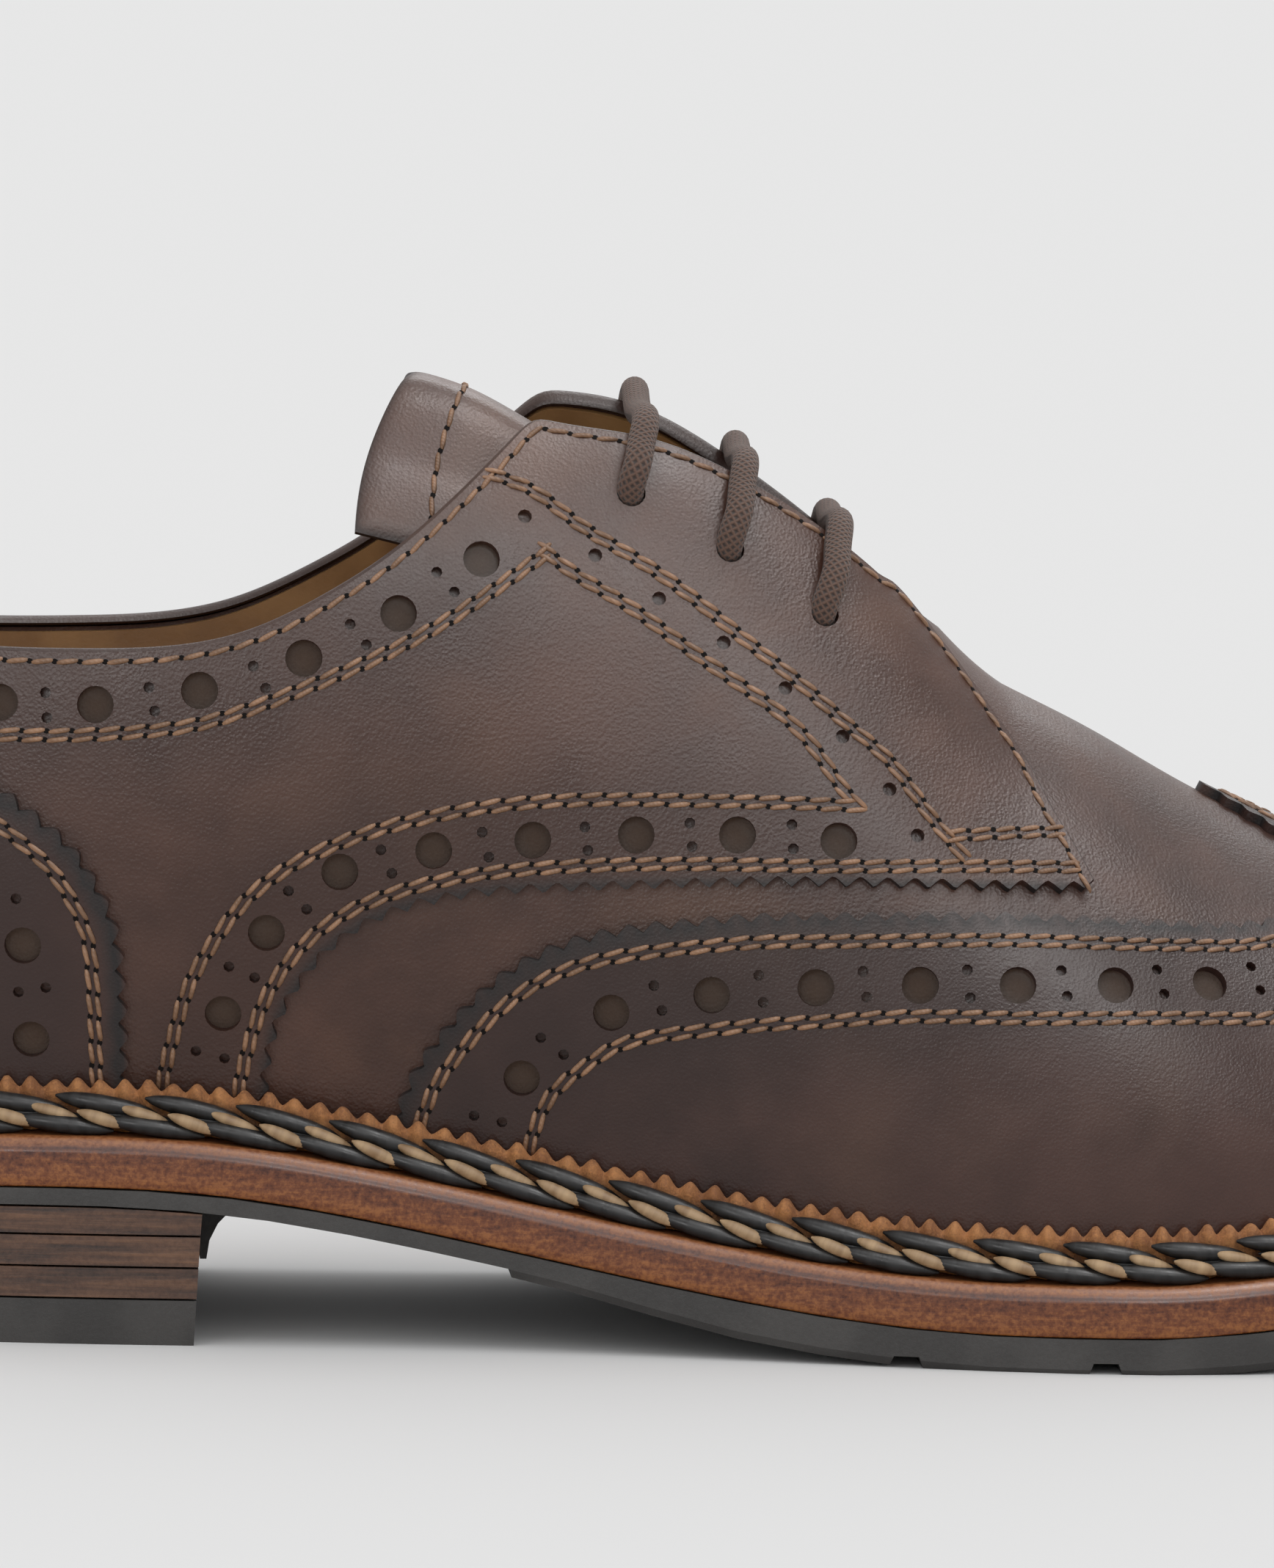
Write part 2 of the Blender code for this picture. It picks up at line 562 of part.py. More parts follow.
def build_sole(finishes):
    shares = np.linspace(0, 1, STATIONS + 1)
    plate(
        "midsole",
        [
            sole_loop(shares, 0, FIT_GAP - MIDSOLE),
            sole_loop(shares, 0, -MIDSOLE_BEVEL),
            sole_loop(shares, MIDSOLE_BEVEL, 0),
        ],
        finishes["midsole"],
    )
    outsole = plate(
        "outsole",
        [
            loop_points(shares, TREAD_CHAMFER / 2, tread_bottom),
            loop_points(shares, 0, lambda x: tread_bottom(x) + TREAD_CHAMFER),
            sole_loop(shares, 0, -MIDSOLE),
        ],
        finishes["rubber"],
    )
    line = np.linspace(-0.1, TREAD_START_SHARE, 14) * OUTSOLE_LENGTH
    outline = [(float(x), float(waist_bottom(max(x, 0)))) for x in line]
    outline += [(float(line[-1]), -OUTSOLE_LENGTH), (float(line[0]), -OUTSOLE_LENGTH)]
    cut(outsole, side_prism("waist_step", outline))
    low, high = -OUTSOLE_LENGTH, 2 * OUTSOLE_LENGTH
    cut(outsole, side_prism("floor", [(low, low), (high, low), (high, 0), (low, 0)]))
    for number in range(GROOVES):
        x = FIRST_GROOVE_SHARE * OUTSOLE_LENGTH + number * GROOVE_PITCH
        z = max(float(tread_bottom(x)), 0)
        lower, upper = z - 2 * GROOVE_DEPTH, z + GROOVE_DEPTH
        outline = [
            (x - GROOVE_WIDTH, lower), (x + GROOVE_WIDTH, lower),
            (x + GROOVE_WIDTH / 2, upper), (x - GROOVE_WIDTH / 2, upper),
        ]
        cut(outsole, side_prism(f"groove_{number + 1}", outline))
    cut(outsole, gusset(), "UNION")
    build_heel(finishes)


def heel_shares():
    """Shares of both sides' runs up to the breast, the same stations on each side."""
    run = np.linspace(0, 0.5, 400)
    sides = plan_sides(run)
    ends = [np.interp(HEEL_LENGTH, place[:, 0], run) for place, _ in sides]
    return np.linspace(0, sum(ends) / 2, 13)


def build_heel(finishes):
    shares = heel_shares()
    block_top = TOP_PIECE + HEEL_STACK

    def heel_loop(level, height):
        share = level / block_top
        inset = HEEL_TAPER * (1 - share)
        return loop_points(shares, inset, height, stop=HEEL_LENGTH - BREAST_LEAN * (1 - share))

    plate(
        "heel_top_piece",
        [heel_loop(z, lambda x, z=z: np.full_like(x, z)) for z in (0, TOP_PIECE)],
        finishes["rubber"],
        smooth=False,
    )
    lift = HEEL_STACK / HEEL_LIFTS
    for number in range(HEEL_LIFTS):
        low = TOP_PIECE + number * lift + FIT_GAP
        high = TOP_PIECE + (number + 1) * lift
        is_top = number == HEEL_LIFTS - 1

        def under_sole(x, high=high, is_top=is_top):
            if not is_top:
                return np.full_like(x, high)
            return waist_bottom(x) - FIT_GAP

        plate(
            f"heel_lift_{number + 1}",
            [heel_loop(low, lambda x, low=low: np.full_like(x, low)), heel_loop(high, under_sole)],
            finishes["heel_leather"],
            smooth=False,
        )


def gusset():
    """The hollow rubber corner where the waist runs down into the breast of the heel."""
    start = HEEL_LENGTH + FIT_GAP
    top = float(waist_bottom(start + GUSSET_LENGTH)) + 0.5 * WAIST_RUBBER
    outline = [(start, top), (start + GUSSET_LENGTH, top)]
    for angle in np.linspace(0, math.pi / 2, 6):
        x = start + GUSSET_LENGTH * (1 - 0.9 * math.sin(angle))
        z = float(waist_bottom(start + GUSSET_LENGTH)) - GUSSET_DROP * (1 - math.cos(angle))
        outline.append((x, z))
    outline.append((start, outline[-1][1]))
    return side_prism("gusset", outline, GUSSET_WIDTH / 2)


def cover(x):
    """Outer face of the thickest leather over the upper, with a gap: the counter lies on the quarters."""
    behind = smooth_step(0.24, 0.20, np.asarray(x) / OUTSOLE_LENGTH)
    return (FIT_GAP + OVERLAY) * (1 + behind) + FIT_GAP


def build_welt(finishes):
    last = Last(np.linspace(0, 1, STATIONS + 1))
    middle = (last.lateral[:, 0] + last.medial[:, 0]) / 2
    inner = cover(middle)[:, None, None]
    outer = inner + WELT_LEATHER
    ring(
        "storm_welt",
        [
            wall_loop(last, inner, FIT_GAP),
            wall_loop(last, inner, WELT_HEIGHT),
            wall_loop(last, outer, WELT_HEIGHT),
            wall_loop(last, outer, FIT_GAP),
        ],
        finishes["welt"],
    )
    back = outer + FIT_GAP
    ring(
        "welt_braid",
        [
            wall_loop(last, back, FIT_GAP),
            wall_loop(last, back, BRAID_HEIGHT),
            wall_loop(last, back + 0.3 * BRAID_WIDTH, BRAID_HEIGHT),
            sole_loop(last.shares, EXPOSED_EDGE + 0.3 * BRAID_WIDTH, 0.7 * BRAID_HEIGHT),
            sole_loop(last.shares, EXPOSED_EDGE, 0.3 * BRAID_HEIGHT),
            sole_loop(last.shares, EXPOSED_EDGE, FIT_GAP),
        ],
        finishes["braid"],
    )


def build_insole(finishes):
    shares = np.linspace(0, 1, STATIONS + 1)

    def inset_rails(extra, height):
        rails = []
        for place, inward in plan_sides(shares):
            inset = upper_inset(place[:, 0]) + UPPER_WALL + extra
            p = place + inward * inset[:, None]
            rails.append(np.concatenate([p, (midsole_top(p[:, 0]) + height)[:, None]], -1))
        return rails

    plate(
        "insole",
        [inset_rails(2 * FIT_GAP, FIT_GAP), inset_rails(2 * FIT_GAP, FIT_GAP + INSOLE)],
        finishes["lining"],
    )


def build_upper(finishes):
    shares = np.linspace(0, 1, STATIONS + 1)
    last = Last(shares)
    # extra stations where the throat closes and where the quarter's corner turns
    extra = np.interp(
        [THROAT_END_SHARE - 0.02, THROAT_END_SHARE - 0.007, THROAT_END_SHARE - 0.001, THROAT_END_SHARE + 0.004], last.ridge_share, shares
    )
    shares = np.sort(np.concatenate([shares, extra]))
    last = Last(shares)
    edges = [last.edge(side) for side in (0, 1)]
    upper = shell("upper", last, edges, -UPPER_WALL, 0, finishes["upper"])

    rear = Last(shares[last.ridge_share < 0.68])
    rear_edges = [edge[: len(rear.shares)] for edge in edges]
    quarters = shell(
        "quarters", rear, rear_edges, FIT_GAP, FIT_GAP + OVERLAY, finishes["upper"]
    )
    low, high = -OUTSOLE_LENGTH, OUTSOLE_LENGTH
    front, back = 2 * OUTSOLE_LENGTH, -OUTSOLE_LENGTH
    line = edge_line(QUARTER_EDGE)
    cut(quarters, side_prism("vamp_window", [(line[0][0], low), *line, (line[-1][0], high), (front, high), (front, low)]))
    cut(quarters, plan_prism("facing_front", FACING_FRONT))

    first = int(np.searchsorted(last.ridge_share, 0.30))
    wing = shell("wing_cap", last, edges, FIT_GAP, FIT_GAP + OVERLAY, finishes["cap"], first)
    line = edge_line(WING_EDGE)
    above_wing = side_prism("above_wing", [(line[0][0], low), *line, (line[-1][0], high), (back, high), (back, low)])
    cut(above_wing, plan_prism("cap_peak", CAP_PEAK))
    cut(wing, above_wing)

    heel_last = Last(shares[last.ridge_share < 0.34])
    heel_edges = [edge[: len(heel_last.shares)] for edge in edges]
    over = 2 * FIT_GAP + OVERLAY
    counter = shell(
        "heel_counter", heel_last, heel_edges, over, over + OVERLAY, finishes["cap"]
    )
    counter_line = edge_line(COUNTER_EDGE)
    beyond = [(counter_line[0][0], low), *counter_line, (counter_line[-1][0], high), (front, high), (front, low)]
    cut(counter, side_prism("beyond_counter", beyond))

    build_tongue(finishes)
    eyelets = eyelet_places()
    for number, (place, outward) in enumerate(eyelets):
        cutter = eyelet_cutter(f"eyelet_{number + 1}", place, outward)
        cut(upper, cutter)
        cut(quarters, cutter)
    build_lace(finishes, eyelets)


def form_point(side, ridge_share, t, offset=0.0):
    """One point off the form and the outward normal there."""
    step = 0.004
    shares = ridge_share + np.array([[-step, -step, -step], [0, 0, 0], [step, step, step]])
    rows = t + np.array([[-0.01, 0, 0.01]] * 3)
    grids = [surface(s, shares, rows) for s in (0, 1)]
    outward = side_normals(*grids)[side][1, 1]
    return grids[side][1, 1] + outward * offset, outward


def facing_place(side, ridge_share, setback):
    """The parameter that lies a given way down the surface from the facing's edge."""
    whole = np.linspace(0, 1, 801)
    share = float(np.interp(ridge_share, Last(whole).ridge_share, whole))
    edge = Last([share]).edge(side)[0]
    t = np.linspace(edge, 0.3, 200)
    run = surface(side, ridge_share, t)
    length = np.concatenate([[0], np.cumsum(np.linalg.norm(np.diff(run, axis=0), axis=1))])
    return float(np.interp(setback, length, t))


def eyelet_places():
    """Centres and outward normals of the six eyelets, lateral row first, top to bottom."""
    places = []
    for side in (0, 1):
        for share, setback in zip(EYELETS["along"], EYELETS["setback"]):
            t = facing_place(side, share, setback * EYELET_SETBACK)
            places.append(form_point(side, share, t))
    return places


def eyelet_cutter(name, place, outward):
    """A ten-sided punch through the facing."""
    mesh = bpy.data.meshes.new(name)
    work = bmesh.new()
    bmesh.ops.create_cone(
        work, cap_ends=True, segments=10, radius1=EYELET_HOLE, radius2=EYELET_HOLE, depth=6 * EYELET_HOLE
    )
    work.to_mesh(mesh)
    work.free()
    cutter = bpy.data.objects.new(name, mesh)
    cutter.rotation_mode = "QUATERNION"
    cutter.rotation_quaternion = Vector(outward).to_track_quat("Z", "Y")
    cutter.location = Vector(place)
    cutter.hide_render = True
    cutter.display_type = "WIRE"
    bpy.context.scene.collection.objects.link(cutter)
    return cutter


def build_tongue(finishes):
    """A sheet under the facings, from its rounded top edge to where it tucks under the vamp."""
    stations, rows = 11, 8
    place = np.linspace(0, 1, stations + 1)[:, None]
    across = np.linspace(0, 1, rows + 1)  # 0 at the sheet's side edge, 1 on the ridge
    flank = TONGUE_FLANK_SHARE + 0.14 * smooth_step(0.3, 1, place)
    t = flank + (1 - flank) * across
    droop = TONGUE_DROOP_SHARE * np.sin(math.pi / 2 * (1 - across))  # the top edge falls back at its sides
    ridge_share = TONGUE_TOP_SHARE + (TONGUE_END_SHARE - TONGUE_TOP_SHARE) * place - droop * (1 - place) ** 2
    sides = [surface(side, ridge_share, t, spring=0) for side in (0, 1)]
    tuck = UPPER_WALL + 2 * FIT_GAP
    under_vamp = tuck * smooth_step(THROAT_END_SHARE - 0.045, THROAT_END_SHARE - 0.012, ridge_share)
    under_facing = (tuck + TONGUE_SAG) * smooth_step(0.93, 0.72, t)
    drop = np.maximum(under_vamp, under_facing)
    grids = []
    for points, outward in zip(sides, side_normals(*sides)):
        grids.append([points - outward * (drop + depth)[..., None] for depth in (TONGUE_WALL, 0)])
    points, faces = [], []
    width = rows + 1

    def at(side, layer, i, j):
        return ((side * 2 + layer) * (stations + 1) + i) * width + j

    for side in (0, 1):
        for layer in (0, 1):
            points += grids[side][layer].reshape(-1, 3).tolist()
    for side in (0, 1):
        for i in range(stations):
            for j in range(rows):
                for layer in (0, 1):
                    faces.append((at(side, layer, i, j), at(side, layer, i + 1, j),
                                  at(side, layer, i + 1, j + 1), at(side, layer, i, j + 1)))
            faces.append((at(side, 0, i, 0), at(side, 1, i, 0), at(side, 1, i + 1, 0), at(side, 0, i + 1, 0)))
        for i in (0, stations):
            for j in range(rows):
                faces.append((at(side, 0, i, j), at(side, 1, i, j), at(side, 1, i, j + 1), at(side, 0, i, j + 1)))
    make_object("tongue", points, faces, finishes["upper"])


def build_lace(finishes, eyelets):
    """Three bars over the throat, each from inside one eyelet to inside the other."""
    over = FIT_GAP + OVERLAY + FIT_GAP + LACE_RADIUS
    for number, share in enumerate(EYELETS["along"]):
        setback = EYELETS["setback"][number] * EYELET_SETBACK
        legs = []
        for side in (0, 1):
            place, outward = eyelets[number + 3 * side]
            leg = [place - outward * UPPER_WALL, place + outward * OVERLAY]
            for part, lift in ((0.66, 0.25), (0.33, 0.12), (0.0, 0.25)):
                t = facing_place(side, share, part * setback)
                leg.append(form_point(side, share, t, over + lift * LACE_RADIUS)[0])
            legs.append(leg)
        crown = (legs[0][-1] + legs[1][-1]) / 2 + np.array([0, 0, LACE_ARCH])
        tube(f"lace_bar_{number + 1}", [*legs[0], crown, *legs[1][::-1]], LACE_RADIUS, finishes["lace"])


def tube(name, route, radius, material):
    """A round cord along a smooth curve through the route's points."""
    knots = np.array(route)
    run = np.concatenate([[0], np.cumsum(np.linalg.norm(np.diff(knots, axis=0), axis=1))])
    t = np.linspace(0, run[-1], 26)
    line = np.stack([spline(run, knots[:, k], t) for k in range(3)], -1)
    data = bpy.data.curves.new(name, "CURVE")
    data.dimensions = "3D"
    data.bevel_depth = radius
    data.bevel_resolution = 2
    data.use_fill_caps = True
    path = data.splines.new("POLY")
    path.points.add(len(line) - 1)
    for point, place in zip(path.points, line):
        point.co = (*place, 1)
    made = bpy.data.objects.new(name, data)
    data.materials.append(material)
    bpy.context.scene.collection.objects.link(made)
    return made


def place_at_origin():
    """Moves the shoe so that its origin is under the middle of its box, which the midsole spans."""
    graph = bpy.context.evaluated_depsgraph_get()
    corners = np.array([v.co for v in bpy.data.objects["midsole"].evaluated_get(graph).data.vertices])
    middle = (corners.min(0) + corners.max(0)) / 2
    shoe = bpy.data.objects.new("shoe", None)
    bpy.context.scene.collection.objects.link(shoe)
    for item in list(bpy.context.scene.objects):
        if item is not shoe:
            item.parent = shoe
    shoe.location = (-middle[0], -middle[1], 0)


def main():
    for item in list(bpy.data.objects):
        bpy.data.objects.remove(item, do_unlink=True)
    finishes = {
        "upper": finish("brown_leather", (0.105, 0.068, 0.052), 0.45),
        "cap": finish("dark_brown_leather", (0.085, 0.055, 0.045), 0.4),
        "lining": finish("tan_lining", (0.42, 0.22, 0.08), 0.6),
        "welt": finish("tan_welt_leather", (0.45, 0.20, 0.07), 0.65),
        "braid": finish("waxed_braid", (0.035, 0.035, 0.04), 0.4),
        "midsole": finish("midsole_leather", (0.22, 0.075, 0.03), 0.35),
        "rubber": finish("black_rubber", (0.055, 0.05, 0.048), 0.6),
        "heel_leather": finish("stacked_leather", (0.13, 0.07, 0.04), 0.5),
        "lace": finish("brown_lace", (0.09, 0.055, 0.045), 0.8),
    }
    build_sole(finishes)
    build_welt(finishes)
    build_insole(finishes)
    build_upper(finishes)
    place_at_origin()


main()
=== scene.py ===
import math

import bmesh
import bpy
import numpy as np
from mathutils import Matrix, Vector
from mathutils.geometry import delaunay_2d_cdt


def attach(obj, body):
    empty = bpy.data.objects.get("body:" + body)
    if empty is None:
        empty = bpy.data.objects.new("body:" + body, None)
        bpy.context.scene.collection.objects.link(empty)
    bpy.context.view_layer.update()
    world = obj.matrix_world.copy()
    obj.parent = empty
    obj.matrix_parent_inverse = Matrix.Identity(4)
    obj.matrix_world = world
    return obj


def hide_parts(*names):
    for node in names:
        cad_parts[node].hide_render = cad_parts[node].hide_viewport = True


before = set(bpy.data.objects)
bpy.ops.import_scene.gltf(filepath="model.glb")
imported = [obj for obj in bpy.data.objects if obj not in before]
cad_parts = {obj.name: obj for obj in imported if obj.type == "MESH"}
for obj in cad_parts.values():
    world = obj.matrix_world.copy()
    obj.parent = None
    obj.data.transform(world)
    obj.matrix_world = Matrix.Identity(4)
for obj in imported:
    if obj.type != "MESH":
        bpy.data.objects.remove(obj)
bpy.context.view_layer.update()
mm = 0.001
lineLift = 1.2 * mm  # lines are laid out and measured on the panels' face
chartSize = np.array([330.0, 105.0])  # about the millimetres of a whole s and of a whole w
aboveScale = 10000  # units to the metre in the picture from above

# the shoe's own sizes, as in the CAD model: metres, x from the heel's back before the shift
last = {
    "length": 305 * mm, "ball": 105 * mm, "instep": 108.7 * mm, "quarter": 66.3 * mm,
    "inset": 10 * mm, "tuck": 1.2 * mm, "swing": 7 * mm, "bulge": 21 * mm, "footStand": 0.08,
    "rubber": 4.8 * mm, "waistRubber": 2.3 * mm, "midsole": 7.1 * mm, "heel": 19.7 * mm, "toeSpring": 11 * mm,
    "facingGap": 12.5 * mm, "facingSpring": 10.3 * mm, "throatEnd": 0.578, "throatRound": 0.035,
    "shift": (-152.5 * mm, 1.173 * mm, 0),
}
plan = {
    "along": (0.06, 0.13, 0.22, 0.32, 0.42, 0.52, 0.61, 0.68, 0.75, 0.83, 0.90, 0.955),
    "lateral": (0.257, 0.324, 0.348, 0.362, 0.400, 0.462, 0.514, 0.529, 0.500, 0.424, 0.319, 0.195),
    "medial": (0.252, 0.310, 0.319, 0.295, 0.295, 0.343, 0.414, 0.471, 0.505, 0.490, 0.424, 0.324),
    "tip": 0.067,
}
soleLine = {
    "along": (0, 0.13, 0.236, 0.308, 0.377, 0.472, 0.5475, 0.60, 0.64, 0.67, 0.715, 0.82, 0.918, 1),
    "heel": (1, 0.983, 0.948, 0.767, 0.529, 0.215, 0.044, 0, 0, 0, 0, 0, 0, 0),
    "toe": (0, 0, 0, 0, 0, 0, 0, 0, 0, 0.01, 0.10, 0.37, 0.70, 1),
}
ribFan = {
    "along": (0.02, 0.08, 0.14, 0.22, 0.30, 0.40, 0.50, 0.62, 0.72, 0.80, 0.88, 0.94, 0.975),
    "ridge": (0.165, 0.175, 0.205, 0.255, 0.315, 0.40, 0.50, 0.62, 0.71, 0.770, 0.815, 0.842, 0.855),
}
ridgeLine = {
    "along": (0.15, 0.25, 0.33, 0.36, 0.40, 0.44, 0.49, 0.54, 0.59, 0.63, 0.66, 0.70, 0.74, 0.79, 0.83, 0.87),
    "height": (1.024, 1.021, 1.009, 1.0, 0.963, 0.942, 0.903, 0.835, 0.746, 0.689, 0.645, 0.576, 0.516,
               0.452, 0.400, 0.345),
    "swing": (0, -0.1, -0.3, -0.42, -0.5, -0.5, -0.45, -0.33, -0.1, 0.08, 0.24, 0.45, 0.63, 0.85, 1, 1),
}
sections = {
    "along": (0.02, 0.10, 0.20, 0.30, 0.40, 0.50, 0.60, 0.70, 0.80, 0.90, 0.98),
    "side0": (0.50, 0.52, 0.55, 0.55, 0.52, 0.50, 0.48, 0.46, 0.50, 0.60, 0.70),
    "side1": (0.50, 0.52, 0.55, 0.52, 0.46, 0.44, 0.44, 0.46, 0.50, 0.60, 0.70),
    "top0": (0.70, 0.72, 0.80, 0.85, 0.80, 0.70, 0.60, 0.52, 0.50, 0.55, 0.60),
    "top1": (0.70, 0.72, 0.80, 0.86, 0.84, 0.76, 0.64, 0.55, 0.52, 0.55, 0.60),
    "bulge0": (0.40, 0.85, 1.08, 0.98, 0.70, 0.54, 0.44, 0.40, 0.36, 0.26, 0.18),
    "bulge1": (0.40, 0.85, 1.02, 0.92, 0.72, 0.60, 0.48, 0.42, 0.36, 0.26, 0.18),
}
collarLine = {
    "along": (0.02, 0.065, 0.105, 0.144, 0.18, 0.216, 0.254, 0.29, 0.32, 0.343, 0.368, 0.42),
    "height": (1.10, 1.055, 1.015, 1.0, 1.0, 1.012, 1.062, 1.164, 1.276, 1.383, 1.513, 1.80),
}
facingLine = {
    "along": (0.30, 0.36, 0.39, 0.43, 0.475, 0.52, 0.55, 0.575, 0.60, 0.66),
    "spring": (0, 0.30, 0.62, 0.92, 0.90, 0.74, 0.55, 0.29, 0.05, 0),
    "medial": (0, 0.32, 0.53, 0.60, 0.44, 0.28, 0.20, 0.10, 0, 0),
}
facingFront = {
    "along": (0.555, 0.566, 0.583, 0.597, 0.6105, 0.619, 0.630, 0.6385),
    "half": (0.107, 0.117, 0.139, 0.171, 0.210, 0.252, 0.290, 0.320),
}
capPeak = {
    "along": (0.703, 0.708, 0.722, 0.738, 0.755, 0.771, 0.783),
    "half": (0.002, 0.012, 0.040, 0.078, 0.122, 0.160, 0.196),
}

# the photograph's camera: metres, pixels of the whole picture
cameraPlace = {
    "place": (-111.7 * mm, -1185.3 * mm, 196 * mm), "aim": (-21.5 * mm, -38.8 * mm, 79 * mm),
    "roll": math.radians(1.07), "focal": 11500, "width": 1736, "height": 2137,
}

# lines read off the photograph, in its pixels
seen = {
    "counterEdge": [(0, 1084), (46, 1119), (96, 1165), (126, 1211), (149, 1264), (157, 1318), (161, 1394),
                    (163, 1463), (164, 1500)],
    "quarterEdge": [(366, 1508), (367, 1483), (378, 1416), (399, 1366), (422, 1332), (444, 1307), (475, 1281),
                    (511, 1260), (573, 1238), (673, 1222), (767, 1217), (887, 1213), (1043, 1209), (1252, 1211),
                    (1482, 1215)],
    "wingEdge": [(538, 1556), (545, 1530), (554, 1507), (570, 1470), (607, 1418), (647, 1373), (701, 1329),
                 (777, 1293), (857, 1275), (946, 1265), (1036, 1258), (1125, 1257), (1425, 1258),
                 (1546, 1264), (1736, 1268)],
    "collarBand": [(0, 995), (89, 996), (179, 992), (268, 981), (357, 954), (446, 919), (536, 879), (625, 829),
                   (700, 778), (740, 750)],
    "insetFront": [(745, 747), (787, 778), (849, 815), (932, 873), (1015, 931), (1077, 977), (1118, 1022),
                   (1147, 1064), (1170, 1092)],
    "insetBottom": [(1172, 1097), (1056, 1092), (932, 1089), (766, 1089), (600, 1108), (517, 1128), (459, 1148),
                    (383, 1186), (329, 1230), (291, 1280), (260, 1333), (237, 1402), (222, 1463), (218, 1488)],
    "facingBand": [(675, 643), (724, 662), (787, 707), (849, 745), (932, 799), (1015, 865), (1098, 931),
                   (1160, 985), (1222, 1041), (1262, 1096), (1291, 1133), (1312, 1158)],
    "facingFoot": [(1303, 1139), (1368, 1136), (1437, 1134)],
    "quarterBand": [(318, 1495), (322, 1471), (333, 1425), (352, 1368), (383, 1314), (421, 1272), (478, 1234),
                    (536, 1211), (634, 1188), (723, 1178), (857, 1172), (991, 1172), (1125, 1175), (1262, 1175),
                    (1457, 1177)],
    "wingBand": [(712, 1575), (719, 1550), (750, 1485), (786, 1454), (835, 1422), (888, 1407), (946, 1400),
                 (1036, 1391), (1125, 1386), (1222, 1380), (1384, 1382), (1546, 1382), (1736, 1384)],
}
# punched holes, in the photograph's pixels
punched = {
    "collarLarge": [(-140, 948), (0, 957), (130, 960), (272, 941), (414, 897), (543, 836), (656, 762)],
    "collarSmall": [(-78, 936), (-76, 970), (62, 944), (64, 978), (203, 937), (211, 969), (345, 908), (362, 938),
                    (477, 851), (499, 879), (595, 780), (619, 807)],
    "facing": [(715, 704), (811, 757), (898, 816), (986, 876), (1070, 938), (1148, 1004), (1212, 1076),
               (1250, 1139)],
    "quarterLarge": [(304, 1381), (363, 1271), (463, 1188), (591, 1159), (726, 1145), (867, 1138), (1005, 1138),
                     (1143, 1146)],
    "quarterSmall": [(267, 1432), (306, 1442), (312, 1317), (347, 1332), (393, 1214), (418, 1239), (519, 1158),
                     (534, 1190), (657, 1134), (666, 1168), (797, 1127), (801, 1159), (940, 1122), (943, 1154),
                     (1079, 1124), (1081, 1157)],
    "wingLarge": [(711, 1469), (833, 1380), (970, 1356), (1112, 1346), (1254, 1343), (1387, 1343), (1520, 1343),
                  (1648, 1341)],
    "wingSmall": [(646, 1520), (684, 1529), (737, 1414), (768, 1437), (891, 1343), (902, 1377), (1034, 1329),
                  (1040, 1366), (1176, 1324), (1181, 1359), (1318, 1322), (1322, 1360), (1446, 1323),
                  (1454, 1358), (1576, 1322), (1586, 1355), (1704, 1318), (1717, 1350)],
    "counterLarge": [(33, 1285), (44, 1412), (-30, 1180)],
    "counterSmall": [(27, 1348), (64, 1342), (-20, 1236), (24, 1222)],
}
holeSize = {"large": 2.55 * mm, "small": 0.78 * mm, "single": 1.0 * mm, "eyelet": 2.0 * mm}
layers = {"wall": 0.9 * mm, "lining": 1.8 * mm, "low": 0.05 * mm, "high": 1.35 * mm, "counter": 2.65 * mm}


def spline(knots, values, where):
    # natural cubic through the values: second slopes from one small linear system
    knots, values = np.asarray(knots, float), np.asarray(values, float)
    count, step = len(knots), np.diff(knots)
    matrix, right = np.eye(count), np.zeros(count)
    inner = np.arange(1, count - 1)
    matrix[inner, inner - 1], matrix[inner, inner] = step[:-1], 2 * (step[:-1] + step[1:])
    matrix[inner, inner + 1] = step[1:]
    right[1:-1] = 3 * np.diff(np.diff(values) / step)
    bend = np.linalg.solve(matrix, right)
    slope = np.diff(values) / step - step * (2 * bend[:-1] + bend[1:]) / 3
    cube = np.diff(bend) / (3 * step)
    k = np.clip(np.searchsorted(knots, where) - 1, 0, count - 2)
    u = np.asarray(where, float) - knots[k]
    return values[k] + slope[k] * u + bend[k] * u**2 + cube[k] * u**3


def through(table, column, where):
    return spline(table["along"], table[column], where)


def smoothStep(low, high, value):
    t = np.clip((np.asarray(value, float) - low) / (high - low), 0, 1)
    return t * t * (3 - 2 * t)


def unit(vectors):
    return vectors / np.maximum(np.linalg.norm(vectors, axis=-1, keepdims=True), 1e-12)


def runOf(points):
    return np.concatenate([[0], np.cumsum(np.linalg.norm(np.diff(points, axis=0), axis=1))])


